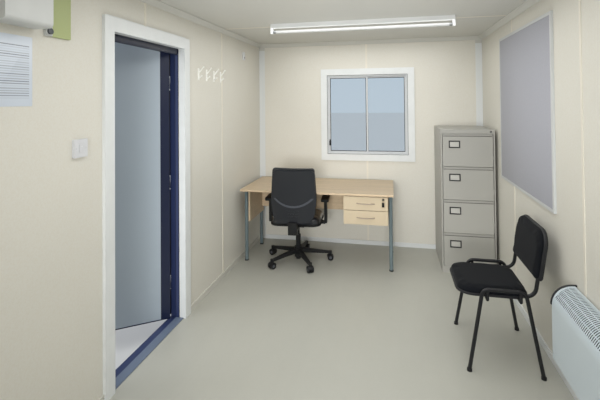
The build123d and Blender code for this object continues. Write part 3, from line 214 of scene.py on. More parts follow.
def weathered_coating(name, colour, streak_axis=2, roughness=0.42):
    """Coated sheet steel out of doors: rain has drawn faint streaks down it, and dust dulls it."""
    made, add, place = new_material(name)
    drawn = add("Mapping", {"Scale": stretch(streak_axis, 0.06)}, place)
    streaks = add("TexNoise", {"Scale": per_metre(60), "Detail": 5.0, "Roughness": 0.6}, drawn)
    cloudy = add("TexNoise", {"Scale": per_metre(900), "Detail": 3.0}, place)
    faint = add("MapRange", {"From Min": 0.35, "From Max": 0.75, "To Max": 0.55}, streaks)
    tint = add("Mix", {"data_type": "RGBA", 6: shade(colour, 1.0), 7: shade(colour, 1.22)}, faint)
    worn = add("Mix", {"data_type": "RGBA", "blend_type": "MULTIPLY", 0: 0.25},
               {6: tint, 7: cloudy.outputs["Color"]})
    grain = add("TexNoise", {"Scale": per_metre(5), "Detail": 2.0}, place)
    return dress(made, worn, (grain, 0.45, 0.08 * MM), (streaks, roughness - 0.06, roughness + 0.16),
                 {"IOR": 1.5})


def vinyl_board(name, colour, fleck):
    """Vinyl-faced board, printed with soft flecks and rolled with a fine grain."""
    made, add, place = new_material(name)
    printed = add("TexNoise", {"Scale": per_metre(9), "Detail": 6.0, "Roughness": 0.65}, place)
    edge = add("MapRange", {"From Min": 0.42, "From Max": 0.62}, printed)
    cloudy = add("TexNoise", {"Scale": per_metre(650), "Detail": 3.0, "Roughness": 0.6}, place)
    wash = add("Mix", {"data_type": "RGBA", 6: shade(colour, 0.955), 7: shade(colour, 1.04)}, cloudy)
    amount = add("Math", {"operation": "MULTIPLY", 1: 0.22}, edge)
    tint = add("Mix", {"data_type": "RGBA", 7: fleck}, {0: amount, 6: wash})
    grain = add("TexVoronoi", {"Scale": per_metre(2.4)}, place)
    return dress(made, tint, (grain, 0.35, 0.1 * MM), (cloudy, 0.44, 0.58), {"IOR": 1.48})


def sheet_floor(name, colour):
    """Welded sheet vinyl: fine chips in two tones, a low sheen, and soft scuffs where people walk."""
    made, add, place = new_material(name)
    chips = add("TexVoronoi", {"Scale": per_metre(4.5)}, place)
    tone = add("MapRange", {"To Min": 0.35, "To Max": 0.65}, chips.outputs["Color"])
    base = add("Mix", {"data_type": "RGBA", 6: shade(colour, 0.9), 7: shade(colour, 1.1)}, tone)
    drag = add("Mapping", {"Rotation": (0.0, 0.0, 0.5), "Scale": (1.0, 0.16, 1.0)}, place)
    scuffs = add("TexNoise", {"Scale": per_metre(120), "Detail": 5.0, "Roughness": 0.7}, drag)
    soft = add("MapRange", {"From Min": 0.4, "From Max": 0.72, "To Max": 0.16}, scuffs)
    dulled = add("Mix", {"data_type": "RGBA", 7: shade(colour, 0.72)}, {0: soft, 6: base})
    wear = add("TexNoise", {"Scale": per_metre(700), "Detail": 6.0, "Roughness": 0.62}, place)
    trodden = add("Mix", {"data_type": "RGBA", 7: shade(colour, 0.9)}, {0: wear, 6: dulled})
    sheen = add("MapRange", {"From Min": 0.3, "From Max": 0.7, "To Min": 0.3, "To Max": 0.5}, wear)
    return dress(made, trodden, (wear, 0.25, 0.15 * MM), sheen, {"IOR": 1.5})


def moulded_plastic(name, colour, roughness, grain_mm=1.6):
    """Injection moulded plastic with a spark-eroded grain, which gives a soft, even sheen."""
    made, add, place = new_material(name)
    grain = add("TexNoise", {"Scale": per_metre(grain_mm), "Detail": 3.0}, place)
    patch = add("TexNoise", {"Scale": per_metre(90), "Detail": 3.0}, place)
    return dress(made, (patch, shade(colour, 0.93), shade(colour, 1.07)), (grain, 0.4, 0.08 * MM),
                 (patch, roughness - 0.06, roughness + 0.06), {"IOR": 1.46})


def drawn_metal(name, colour, roughness, along, metallic=1.0):
    """Drawn or brushed metal: fine lines along its length stretch the highlight across them."""
    made, add, place = new_material(name)
    lines = add("Mapping", {"Scale": stretch(along, 0.02)}, place)
    brushed = add("TexNoise", {"Scale": per_metre(2.0), "Detail": 3.0}, lines)
    return dress(made, (brushed, shade(colour, 0.88), shade(colour, 1.06)), None,
                 (brushed, roughness - 0.08, roughness + 0.1), {"Metallic": metallic})


def beech_laminate(name, colour):
    """Beech-pattern melamine board: straight grain along x, short dark flecks and a soft sheen."""
    made, add, place = new_material(name)
    run = add("Mapping", {"Scale": stretch(0, 0.05)}, place)
    bands = add("TexNoise", {"Scale": per_metre(45), "Detail": 6.0, "Roughness": 0.62, "Distortion": 0.6},
                run)
    spread = add("MapRange", {"From Min": 0.3, "From Max": 0.7}, bands)
    tint = add("Mix", {"data_type": "RGBA", 6: shade(colour, 0.86), 7: shade(colour, 1.1)}, spread)
    short = add("Mapping", {"Scale": stretch(0, 0.22)}, place)
    flecks = add("TexNoise", {"Scale": per_metre(7), "Detail": 2.0}, short)
    sparse = add("MapRange", {"From Min": 0.58, "From Max": 0.72, "To Max": 0.5}, flecks)
    grained = add("Mix", {"data_type": "RGBA", 7: shade(colour, 0.62)}, {0: sparse, 6: tint})
    return dress(made, grained, (flecks, 0.15, 0.1 * MM), None, {"Roughness": 0.42, "IOR": 1.5})


def woven_cover(name, colour, thread):
    """Woven wool-blend cover: crossed threads, coarser than life so that they show, and a soft sheen."""
    made, add, place = new_material(name)
    warp, weft, rise = (
        add("TexWave", {"Scale": wave_scale(thread), "bands_direction": way, "Distortion": 0.6},
            place).outputs["Fac"] for way in "XYZ")
    crossed = add("Math", {"operation": "MULTIPLY"}, {0: warp, 1: weft})
    woven = add("Math", {"operation": "ADD"}, {0: crossed, 1: rise})
    fuzz = add("TexNoise", {"Scale": per_metre(5), "Detail": 5.0, "Roughness": 0.7}, place)
    height = add("Math", {"operation": "ADD"}, {0: woven, 1: fuzz})
    return dress(made, (fuzz, shade(colour, 0.65), shade(colour, 1.5)), (height, 0.5, 0.4 * MM), values={
        "Roughness": 0.92, "Specular IOR Level": 0.18, "Sheen Weight": 0.03, "Sheen Roughness": 0.5})


def needled_felt(name, colour):
    """Needled felt: matted fibres with faint ribs from the roller, and no gloss."""
    made, add, place = new_material(name)
    fibre = add("TexNoise", {"Scale": per_metre(6), "Detail": 8.0, "Roughness": 0.75}, place)
    rib = add("TexWave", {"Scale": wave_scale(12 * MM), "bands_direction": "Y", "Distortion": 1.2,
                          "Detail": 2.0}, place)
    height = add("Math", {"operation": "ADD"}, {0: fibre, 1: rib.outputs["Fac"]})
    return dress(made, (fibre, shade(colour, 0.82), shade(colour, 1.16)), (height, 0.35, 0.5 * MM), None,
                 {"Roughness": 0.95, "Sheen Weight": 0.08})


def float_glass(name):
    """Clear float glass with a faint blue tint and the thinnest film on it."""
    made, add, place = new_material(name)
    film = add("TexNoise", {"Scale": per_metre(260), "Detail": 4.0}, place)
    return dress(made, gloss=(film, 0.0, 0.05), values={
        "Base Color": linear("#E2ECF5"), "Transmission Weight": 1.0, "IOR": 1.5})


def printed_sheet(name, across, up):
    """Paper under clear film, with plain grey rules between its margins in place of its text."""
    made, add, place = new_material(name)
    parts = add("SeparateXYZ", links=place)
    rules = add("Math", {"operation": "PINGPONG", 1: 5.0 * MM}, parts.outputs["Z"])
    line = add("Math", {"operation": "LESS_THAN", 1: 2.0 * MM}, rules)
    faded = add("TexNoise", {"noise_dimensions": "1D", "Scale": per_metre(22), "Detail": 1.0},
                {"W": parts.outputs["Z"]})
    depth = add("MapRange", {"From Min": 0.38, "From Max": 0.62, "To Min": 0.15, "To Max": 0.85}, faded)
    mark = add("Math", {"operation": "MULTIPLY"}, {0: line, 1: depth})
    for side, (start, end) in (("Y", across), ("Z", up)):
        inside = add("Math", {"operation": "COMPARE", 1: (start + end) / 2, 2: (end - start) / 2},
                     parts.outputs[side])
        mark = add("Math", {"operation": "MULTIPLY"}, {0: mark, 1: inside})
    return dress(made, (mark, linear("#CBD3DE"), linear("#7C8088")), values={"Roughness": 0.22, "IOR": 1.5})


def split_material(name, axis, level, below, above):
    """Two finishes on one CAD piece, parted at a level along an axis, such as a black glide under a leg."""
    made, add, place = new_material(name)
    parts = add("SeparateXYZ", links=place)
    over = add("Math", {"operation": "GREATER_THAN", 1: level}, parts.outputs[axis])
    peel = add("TexNoise", {"Scale": per_metre(4), "Detail": 2.0}, place)
    tint = add("Mix", {"data_type": "RGBA", 6: below, 7: above}, over)
    cloudy = add("Mix", {"data_type": "RGBA", "blend_type": "MULTIPLY", 0: 0.12},
                 {6: tint, 7: peel.outputs["Color"]})
    return dress(made, cloudy, (peel, 0.4, 0.06 * MM), None, {"Roughness": 0.4})


def banded(material, centre, axis, inner, outer, colour, metal=False, below=100.0):
    """Another finish between two radii about an axis, under a height: plated knuckles, and a painted
    highlight along a raised arc.
    """
    tree = material.node_tree
    add = partial(add_node, tree)
    place = add("TexCoord").outputs["Object"]
    away = add("VectorMath", {"operation": "SUBTRACT", 1: centre}, place)
    flat = add("VectorMath", {"operation": "MULTIPLY", 1: stretch(axis, 0.0)}, away)
    reach = add("VectorMath", {"operation": "LENGTH"}, flat)
    ring = add("Math", {"operation": "COMPARE", 1: (inner + outer) / 2, 2: (outer - inner) / 2}, reach)
    height = add("SeparateXYZ", links=place).outputs["Z"]
    low = add("Math", {"operation": "LESS_THAN", 1: below}, height)
    inside = add("Math", {"operation": "MULTIPLY"}, {0: ring, 1: low})
    shader = tree.nodes["Principled BSDF"]
    if metal:
        tree.links.new(inside.outputs[0], shader.inputs["Metallic"])
    plain = shader.inputs["Base Color"].links[0].from_socket
    return dress(material, add("Mix", {"data_type": "RGBA", 7: colour}, {0: inside, 6: plain}))


def leathercloth(name, colour):
    """Leathercloth: a pebbled vinyl skin whose soft gloss shows the swell of the padding under it."""
    made, add, place = new_material(name)
    pebble = add("TexVoronoi", {"Scale": per_metre(1.8)}, place)
    patch = add("TexNoise", {"Scale": per_metre(70), "Detail": 3.0}, place)
    return dress(made, (patch, shade(colour, 0.85), shade(colour, 1.2)), (pebble, 0.3, 0.1 * MM),
                 (patch, 0.27, 0.36), {"IOR": 1.54, "Coat Weight": 0.6, "Coat Roughness": 0.24})


def soft_rubber(name, colour):
    """Extruded rubber: dead black with a dull, waxy bloom in patches."""
    made, add, place = new_material(name)
    bloom = add("TexNoise", {"Scale": per_metre(35), "Detail": 4.0}, place)
    return dress(made, (bloom, shade(colour, 1.0), shade(colour, 1.8)), None, (bloom, 0.55, 0.75),
                 {"IOR": 1.52})


def plain_card(name, colour):
    """Uncoated card: matt, with the faint cloudiness of its pulp."""
    made, add, place = new_material(name)
    pulp = add("TexNoise", {"Scale": per_metre(12), "Detail": 5.0}, place)
    return dress(made, (pulp, shade(colour, 0.95), shade(colour, 1.03)), values={"Roughness": 0.8})


def deselect():
    """Leave edit mode and select nothing."""
    if bpy.context.object is not None and bpy.context.object.mode != "OBJECT":
        bpy.ops.object.mode_set(mode="OBJECT")
    bpy.ops.object.select_all(action="DESELECT")


def choose(piece):
    """Select one piece and make it active."""
    deselect()
    piece.select_set(True)
    bpy.context.view_layer.objects.active = piece


def settle(piece):
    """Put a piece's place, turn and scale into its mesh."""
    choose(piece)
    bpy.ops.object.transform_apply(location=True, rotation=True, scale=True)
    return piece


def named(piece, name):
    """Give a piece and its mesh one name."""
    piece.name = piece.data.name = name
    return piece


def box(name, low, high):
    """A box between two corners, to be shaped further."""
    deselect()
    middle = [(a + b) / 2 for a, b in zip(low, high)]
    bpy.ops.mesh.primitive_cube_add(size=1, location=middle, scale=[b - a for a, b in zip(low, high)])
    return settle(named(bpy.context.object, name))


def rod(name, start, end, radius, sides=24):
    """A round bar between two points, to be shaped further."""
    deselect()
    start, end = Vector(start), Vector(end)
    bpy.ops.mesh.primitive_cylinder_add(vertices=sides, radius=radius, depth=(end - start).length,
                                        location=(start + end) / 2)
    piece = named(bpy.context.object, name)
    piece.rotation_mode = "QUATERNION"
    piece.rotation_quaternion = (end - start).to_track_quat("Z", "Y")
    return settle(piece)


def edit(piece):
    """Open a piece for shaping, with all of it selected."""
    choose(piece)
    bpy.ops.object.mode_set(mode="EDIT")
    bpy.ops.mesh.select_all(action="SELECT")


def pick(piece, kind, test):
    """In edit mode, select the faces or edges whose place or normal passes a test."""
    bpy.ops.mesh.select_mode(type=kind)
    bpy.ops.mesh.select_all(action="DESELECT")
    mesh = bmesh.from_edit_mesh(piece.data)
    for item in {"FACE": mesh.faces, "EDGE": mesh.edges}[kind]:
        if test(item):
            item.select_set(True)
    bmesh.update_edit_mesh(piece.data)


def inset_end(piece, outward, *rings):
    """Inset the end face that looks outward, once for each ring's width and depth."""
    edit(piece)
    pick(piece, "FACE", lambda face: face.normal.dot(Vector(outward)) > 0.9)
    for width, depth in rings:
        bpy.ops.mesh.inset(thickness=width, depth=depth)
    deselect()
    return piece


def modify(piece, kind, **settings):
    """Add a modifier and apply it."""
    choose(piece)
    added = piece.modifiers.new(kind.title(), kind)
    for key, value in settings.items():
        setattr(added, key, value)
    bpy.ops.object.modifier_apply(modifier=added.name)
    return piece


def rounded(piece, width, segments=3):
    """Round a piece's sharp edges."""
    return modify(piece, "BEVEL", width=width, segments=segments, limit_method="ANGLE",
                  angle_limit=math.radians(35), use_clamp_overlap=True)


def joined(name, pieces):
    """Join pieces into one."""
    deselect()
    for piece in pieces:
        piece.select_set(True)
    bpy.context.view_layer.objects.active = pieces[0]
    if len(pieces) > 1:
        bpy.ops.object.join()
    return named(bpy.context.object, name)


def repeated(piece, count, step):
    """Repeat a piece in a row."""
    return modify(piece, "ARRAY", count=count, use_relative_offset=False, use_constant_offset=True,
                  constant_offset_displace=step)


def tidy_faces(piece):
    """Merge a piece's doubled points and turn its faces outwards."""
    edit(piece)
    bpy.ops.mesh.remove_doubles(threshold=0.01 * MM)
    bpy.ops.mesh.normals_make_consistent(inside=False)
    deselect()
    return piece


def slab(name, low, high, edge, segments=3):
    """A box with its edges rounded."""
    return rounded(box(name, low, high), edge, segments)


def peg(name, start, end, radius, edge, sides=24):
    """A short round bar with its ends rounded."""
    return rounded(rod(name, start, end, radius, sides), edge, 2)


def framed(name, low, high, width, axis, edge):
    """A flat frame: both broad faces of a box are inset, and the hole is bridged through."""
    piece = box(name, low, high)
    edit(piece)
    pick(piece, "FACE", lambda face: abs(face.normal[axis]) > 0.9)
    bpy.ops.mesh.inset(thickness=width, depth=0.0, use_individual=True)
    bpy.ops.mesh.bridge_edge_loops()
    return rounded(tidy_faces(piece), edge, 2)


def corners_rounded(piece, axis, radius, segments=8, test=lambda place: True):
    """Round the edges of a box that run along one axis, such as a cushion's corners."""
    edit(piece)
    pick(piece, "EDGE", lambda e: abs((e.verts[0].co - e.verts[1].co).normalized()[axis]) > 0.9
         and test((e.verts[0].co + e.verts[1].co) / 2))
    bpy.ops.mesh.bevel(offset=radius, offset_type="OFFSET", segments=segments, affect="EDGES")
    deselect()
    return piece


def bent_strip(name, centre, axis, start, across, sweep, steps):
    """A strip bent round an axis: its end face, from corner to corner, is spun about the centre."""
    low, high = Vector(start), Vector(start) + Vector(across)
    deselect()
    bpy.ops.mesh.primitive_plane_add(size=1)
    piece = named(bpy.context.object, name)
    edit(piece)
    mesh = bmesh.from_edit_mesh(piece.data)
    spare = next(a for a in range(3) if abs(low[a] - high[a]) < 1e-9)
    first, second = [a for a in range(3) if a != spare]
    for point in mesh.verts:
        place = Vector(low)
        place[first] = high[first] if point.co.x > 0 else low[first]
        place[second] = high[second] if point.co.y > 0 else low[second]
        point.co = place
    bmesh.update_edit_mesh(piece.data)
    bpy.ops.mesh.select_all(action="SELECT")
    # The operator turns the other way round.
    bpy.ops.mesh.spin(steps=steps, angle=-sweep, center=centre, axis=axis)
    deselect()
    return tidy_faces(piece)


def turned(piece, centre, angle, axis="Z"):
    """Turn a piece about an axis through a point."""
    there = Matrix.Translation(centre)
    piece.matrix_world = there @ Matrix.Rotation(angle, 4, axis) @ there.inverted() @ piece.matrix_world
    return settle(piece)


def cad_copy(name, node, shrink):
    """A merged copy of a CAD piece's mesh, made a little smaller because it is going to swell."""
    piece = named(bpy.data.objects.new(name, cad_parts[node].data.copy()), name)
    bpy.context.scene.collection.objects.link(piece)
    piece.data.materials.clear()
    edit(tidy_faces(piece))
    bpy.ops.transform.shrink_fatten(value=-shrink)
    deselect()
    return piece


def cut_flat(piece, level):
    """Cut off what lies under a level, and close the cut."""
    edit(piece)
    bpy.ops.mesh.bisect(plane_co=(0, 0, level), plane_no=(0, 0, 1), clear_inner=True, use_fill=True)
    deselect()
    return piece


def stuffed(piece, held, sizes, share=1.0):
    """Swell a closed shape into a cushion by cloth simulation. Points that pass a test are held still."""
    furthest, frames, pressure = share * sizes.swell, 20, 4.0
    choose(piece)
    piece.data.remesh_voxel_size = sizes.voxel
    bpy.ops.object.voxel_remesh()
    before = [point.co.copy() for point in piece.data.vertices]
    group = piece.vertex_groups.new(name="held")
    group.add([k for k, place in enumerate(before) if held(place)], 1.0, "ADD")
    cloth = piece.modifiers.new("Cloth", "CLOTH")
    cloth.settings.quality = 4
    cloth.settings.vertex_group_mass = "held"
    cloth.settings.use_pressure = True
    cloth.settings.uniform_pressure_force = pressure
    cloth.settings.effector_weights.gravity = 0.0
    cloth.collision_settings.use_collision = False
    cloth.point_cache.frame_start, cloth.point_cache.frame_end = 1, frames
    for step in range(1, frames + 1):
        bpy.context.scene.frame_set(step)
    choose(piece)
    bpy.ops.object.modifier_apply(modifier="Cloth")
    bpy.context.scene.frame_set(1)
    for point, place in zip(piece.data.vertices, before):
        moved = point.co - place
        if moved.length > furthest:
            point.co = place + moved.normalized() * furthest
    piece.vertex_groups.clear()
    modify(piece, "SMOOTH", factor=0.5, iterations=14)
    return modify(piece, "SUBSURF", levels=1, render_levels=1)


def done(piece, material, body="cabin", replaced=None, angle=35):
    """Smooth a finished piece, give it its material, and let it ride on its body."""
    settle(piece)
    bpy.ops.object.shade_smooth_by_angle(angle=math.radians(angle))
    piece.data.materials.clear()
    piece.data.materials.append(material)
    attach(piece, body)
    if replaced:
        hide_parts(replaced)
    deselect()


def cushioned(piece, cover, replaced):
    """Finish a cushion that stands for a CAD solid."""
    done(piece, cover, replaced=replaced, angle=CUSHION_ANGLE)


def paint(material, *nodes):
    """Give CAD pieces a material, and leave their meshes as they are."""
    for name in nodes:
        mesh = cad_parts[name].data
        mesh.materials.clear()
        mesh.materials.append(material)


class CABIN_OT_stage(bpy.types.Operator):
    """Put down the pale floor and set the sky, the lamps and the camera"""

    bl_idname = "cabin.stage"
    bl_label = "Stage"

    def execute(self, context):
        lamps = context.scene.cabin_lamps
        deselect()
        floor_width, gap = 120, 0.5 * MM
        bpy.ops.mesh.primitive_plane_add(size=floor_width, location=(0, 0, -gap))
        floor = context.object
        floor.name = "stage_floor"
        pale, add, place = new_material("pale studio floor")
        mottle = add("TexNoise", {"Scale": per_metre(1500), "Detail": 2.0}, place)
        dress(pale, (mottle, linear("#D4D6D6"), linear("#DBDCDC")), values={"Roughness": 0.9})
        floor.data.materials.append(pale)

        world = bpy.data.worlds.new("plain pale sky")
        context.scene.world = world
        world.use_nodes = True
        world.node_tree.nodes.clear()
        add = partial(add_node, world.node_tree)
        rays = add("LightPath").outputs
        seen = add("Math", {"operation": "MAXIMUM"}, {0: rays["Is Camera Ray"], 1: rays["Is Glossy Ray"]})
        shown = add("Math", {"operation": "MAXIMUM"}, {0: seen, 1: rays["Is Transmission Ray"]})
        light = add("Background", {"Color": linear("#F4F6F8"), "Strength": lamps.sky})
        backdrop = add("Background", {"Color": linear("#D5DDE2"), "Strength": 1.0})
        mixed = add("MixShader", links={0: shown, 1: light, 2: backdrop})
        add("OutputWorld", links=mixed)

        for name, place, aim, size, spread, power in (
            ("room_lamp", (0.0, 0.7, 2.40), (0.0, 0.7, 0.0), (1.7, 4.0), 180, lamps.room_power),
            ("low_lamp", (0.0, 0.6, 0.40), (0.0, 0.6, 2.4), (1.0, 2.6), 115, lamps.low_power),
            ("near_lamp", (0.1, -2.75, 1.45), (0.0, 2.9, 0.75), (1.3, 1.0), 66, lamps.near_power),
            ("door_lamp", (-6.5, -3.0, 4.5), (-0.8, 0.2, 1.0), (3.0, 3.0), 180, lamps.outside_power),
            ("window_lamp", (5.0, 7.5, 5.0), (0.2, 1.0, 1.0), (3.5, 3.5), 180, lamps.outside_power),
        ):
            deselect()
            bpy.ops.object.light_add(type="AREA", location=place)
            lamp = context.object
            lamp.name = name
            lamp.data.shape = "RECTANGLE"
            lamp.data.size, lamp.data.size_y = size
            lamp.data.spread = math.radians(spread)
            lamp.data.energy = power
            lamp.rotation_mode = "QUATERNION"
            lamp.rotation_quaternion = (Vector(aim) - Vector(place)).to_track_quat("-Z", "Y")
            lamp.visible_camera = False
            lamp.visible_transmission = False
            lamp.visible_glossy = name == "room_lamp"

        deselect()
        bpy.ops.object.camera_add()
        camera = context.object
        camera.name = "camera"
        upright = math.radians(90)
        facing = (Matrix.Rotation(CAMERA_YAW, 4, "Z") @ Matrix.Rotation(upright + CAMERA_PITCH, 4, "X")
                  @ Matrix.Rotation(CAMERA_ROLL, 4, "Z"))
        camera.matrix_world = Matrix.Translation(CAMERA_PLACE) @ facing
        camera.data.sensor_width = 36.0
        camera.data.lens = CAMERA_LENS
        camera.data.shift_y = CAMERA_SHIFT
        camera.data.clip_start = 0.05
        context.scene.camera = camera
        context.scene.view_settings.view_transform = "Standard"
        return {"FINISHED"}


def screw(name, place, outward, washer):
    """A sheeting screw: the face of a washer is inset and drawn out into its head."""
    outward = Vector(outward)
    piece = rod(name, place, Vector(place) + outward * 2.5 * MM, washer, 12)
    edit(piece)
    pick(piece, "FACE", lambda face: face.normal.dot(outward) > 0.9)
    bpy.ops.mesh.inset(thickness=0.42 * washer, depth=0.0)
    bpy.ops.mesh.extrude_region_move(TRANSFORM_OT_translate={"value": outward * 4.0 * MM})
    bpy.ops.mesh.inset(thickness=0.12 * washer, depth=0.06 * washer)
    deselect()
    return piece


class CABIN_OT_shell(bpy.types.Operator):
    """Paint the steel frame, the roof and the ribbed cladding, and put in the sheeting screws"""

    bl_idname = "cabin.shell"
    bl_label = "Steel shell"

    def execute(self, context):
        hue = context.scene.cabin_colours
        paint(sprayed_enamel("satin navy enamel, sprayed", hue.frame_navy),
              "base_frame", "corner_posts", "roof_frame", "lifting_eyes")
        paint(weathered_coating("navy coated steel sheet, roll formed", hue.cladding_navy),
              "cladding_door_side", "cladding_plain_side", "cladding_window_end", "cladding_rear_end")
        paint(weathered_coating("grey coated roof sheet, roll formed", hue.roof_grey, 0, 0.5), "roof_sheet")
        washer = context.scene.cabin_sizes.washer_radius
        pitch, rows, rise = 0.25, 5, 0.5475
        side, end, foot = 1.307, 3.017, 0.2
        head = foot + 4 * rise
        zinc = drawn_metal("zinc-plated steel, cold headed", linear("#9CA0A4"), 0.4, 2)
        for name, place, outward, columns, levels in (
            ("door_side_screws_a", (-side, -2.71, foot), (-1, 0, 0), 12, rows),
            ("door_side_screws_b", (-side, 1.29, foot), (-1, 0, 0), 7, rows),
            ("door_head_screws", (-side, 0.29, head), (-1, 0, 0), 4, 1),
            ("plain_side_screws", (side, -2.71, foot), (1, 0, 0), 23, rows),
            ("rear_end_screws", (-0.96, -end, foot), (0, -1, 0), 9, rows),
            ("window_end_screws_a", (-0.96, end, foot), (0, 1, 0), 2, rows),
            ("window_end_screws_b", (0.54, end, foot), (0, 1, 0), 3, rows),
            ("window_sill_screws", (-0.46, end, foot), (0, 1, 0), 4, 2),
            ("window_head_screws", (-0.46, end, head), (0, 1, 0), 4, 1),
        ):
            run = (0, pitch, 0) if outward[0] else (pitch, 0, 0)
            made = repeated(screw(name, place, outward, washer), columns, run)
            if levels > 1:
                repeated(made, levels, (0, 0, rise))
            done(made, zinc)
        purlin = 1.15
        made = screw("roof_screws", (-purlin, -2.835, 2.632), (0, 0, 1), washer)
        repeated(repeated(made, 24, (0, pitch, 0)), 3, (purlin, 0, 0))
        done(made, zinc)
        return {"FINISHED"}


class CABIN_OT_linings(bpy.types.Operator):
    """Face the walls, ceiling and floor, paint the trims, and put strips over the ceiling's joints"""

    bl_idname = "cabin.linings"
    bl_label = "Room linings"

    def execute(self, context):
        hue = context.scene.cabin_colours
        paint(vinyl_board("cream vinyl-faced wall board", hue.wall_cream, linear("#C9C0AD")),
              "door_wall_near", "door_wall_far", "door_wall_head", "plain_wall", "rear_wall", "window_wall")
        paint(vinyl_board("cream vinyl-faced ceiling board", hue.ceiling_cream, linear("#BDB9AE")),
              "ceiling_panel")
        paint(sheet_floor("beige sheet vinyl, welded", hue.floor_beige), "floor_deck")
        paint(moulded_plastic("white trim board, wrapped", hue.trim_white, 0.38, 3.0),
              "door_trim", "window_trim")
        beside_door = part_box("skirting")[0].x + 30 * MM
        paint(split_material("skirting, cream by the door and white elsewhere", 0, beside_door,
                             shade(hue.wall_cream, 0.92), hue.trim_white), "skirting")
        ceiling, reach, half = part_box("ceiling_panel")[0].z, 1.19, 13 * MM
        under, over = ceiling - 2 * MM, ceiling + 0.5 * MM
        paint(split_material("cream coving over white corner trim", 2, ceiling - 70 * MM, hue.trim_white,
                             hue.ceiling_cream), "coving")
        strips = [slab("strip", (-reach, y - half, under), (reach, y + half, over), 0.8 * MM)
                  for y in CEILING_JOINTS]
        done(joined("ceiling_joint_strips", strips),
             moulded_plastic("cream ceiling strip, extruded", hue.strip_cream, 0.42, 3.0))
        paint(moulded_plastic("cream cover strip, extruded", hue.strip_cream, 0.42, 3.0), "joint_strips")
        return {"FINISHED"}


class CABIN_OT_door(bpy.types.Operator):
    """Finish the door and its frame, and fit the seals, the head bar, the hinge bead and the lock plate"""

    bl_idname = "cabin.door"
    bl_label = "Door"

    def execute(self, context):
        hue = context.scene.cabin_colours
        # Both pieces take the cabin's one navy enamel. The leaf's copy is darker, as painted shade, and the
        # frame's copy is lighter, as painted light on the lit jamb.
        for node, name, factor in (("door_leaf", "navy enamel on the door leaf, painted darker as shaded", 0.7),
                                   ("door_frame", "navy enamel on the door frame, painted lighter as lit", 2.0)):
            enamel = sprayed_enamel(name, shade(hue.frame_navy, factor))
            paint(banded(enamel, DOOR_HINGE, 2, -1.0, 9.7 * MM, linear("#B9BCC0"), True), node)
        paint(sprayed_enamel("grey faced door lining", hue.lining_grey, 0.42, 12.0), "door_leaf_lining")
        steel = drawn_metal("satin stainless steel, brushed", linear("#B4B6B8"), 0.3, 1)
        paint(steel, "door_handle")
        paint(sprayed_enamel("blue-grey coated threshold", linear("#667286"), 0.42), "threshold")
        rubber = soft_rubber("black rubber, extruded", hue.rubber_black)

        inner, outer, width = -1.2902, -1.2944, 11 * MM
        lock_side, hinge_side, foot, head = 0.267, 1.093, 0.19, 2.218
        under = head - width - 1 * MM
        seals = [slab("seal", (outer, near, low), (inner, far, high), 1.5 * MM) for near, far, low, high in (
            (lock_side, lock_side + width, foot, under),
            (hinge_side - width, hinge_side, foot, under),
            (lock_side, hinge_side, head - width, head))]
        done(joined("door_seal", seals), rubber)
        # The head bar's navy is darkened to half: painted shade under the door head.
        bar = slab("door_head_bar", (-1.2905, 0.2825, 2.122), (-1.267, 1.0775, 2.168), 2.0 * MM)
        done(bar,
             sprayed_enamel("navy enamel on the head bar, darkened as painted shade", shade(hue.frame_navy, 0.5)))
        beads = []
        for low, high in ((0.185, 0.368), (0.472, 1.113), (1.217, 1.858), (1.962, 2.205)):
            start = DOOR_HINGE + Vector((1.5 * MM, 2.5 * MM, low))
            beads.append(peg("bead", start, start + Vector((0, 0, high - low)), 8.0 * MM, 2.0 * MM, 16))
        done(joined("hinge_bead", beads), rubber)
        lines = [slab("line", (-1.2665, y, 0.18), (-1.2625, y + 4 * MM, 2.16), 1.0 * MM, 2)
                 for y in (1.0785, 0.2775)]
        done(joined("lining_seal", lines), rubber)

        plate = box("plate", (-1.329, 0.2685, 1.06), (-1.307, 0.2705, 1.30))
        plate = rounded(corners_rounded(plate, 1, 6.0 * MM, 4), 0.4 * MM, 2)
        bolt = slab("bolt", (-1.325, 0.2665, 1.155), (-1.311, 0.27, 1.185), 0.8 * MM, 2)
        lock = turned(joined("lock_plate", [plate, bolt]), DOOR_HINGE, -DOOR_OPEN)
        done(lock, steel, "door")
        return {"FINISHED"}


class CABIN_OT_window(bpy.types.Operator):
    """Finish the window's frame, sashes and glass, and fit the gaskets and the catch"""

    bl_idname = "cabin.window"
    bl_label = "Window"

    def execute(self, context):
        paint(drawn_metal("powder-coated aluminium, extruded", linear("#C9CCCE"), 0.42, 2, 0.0),
              "window_frame", "window_sashes")
        paint(float_glass("clear float glass"), "window_glass")
        rubber = soft_rubber("black glazing rubber, extruded", context.scene.cabin_colours.rubber_black)
        low, high, width = 1.1995, 2.0245, 0.4066
        gaskets = [framed("gasket", (x, y, low), (x + width, y + 3.4 * MM, high), 6.0 * MM, 1, 0.6 * MM)
                   for x, y in ((-0.3925, 2.9535), (-0.3925, 2.9611), (0.0259, 2.9715), (0.0259, 2.9791))]
        done(joined("window_gaskets", gaskets), rubber)
        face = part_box("window_frame")[0].y
        edge = framed("frame_gasket", (-0.4247, face - 1.2 * MM, 1.1673), (0.4647, face + 0.6 * MM, 2.0567),
                      3.2 * MM, 1, 0.5 * MM)
        done(edge, rubber)
        catch = slab("catch", (-0.406, 2.940, 1.262), (-0.384, 2.9519, 1.312), 2.5 * MM)
        lever = slab("lever", (-0.401, 2.930, 1.284), (-0.389, 2.941, 1.330), 2.0 * MM)
        done(joined("window_catch", [catch, lever]), rubber)
        return {"FINISHED"}


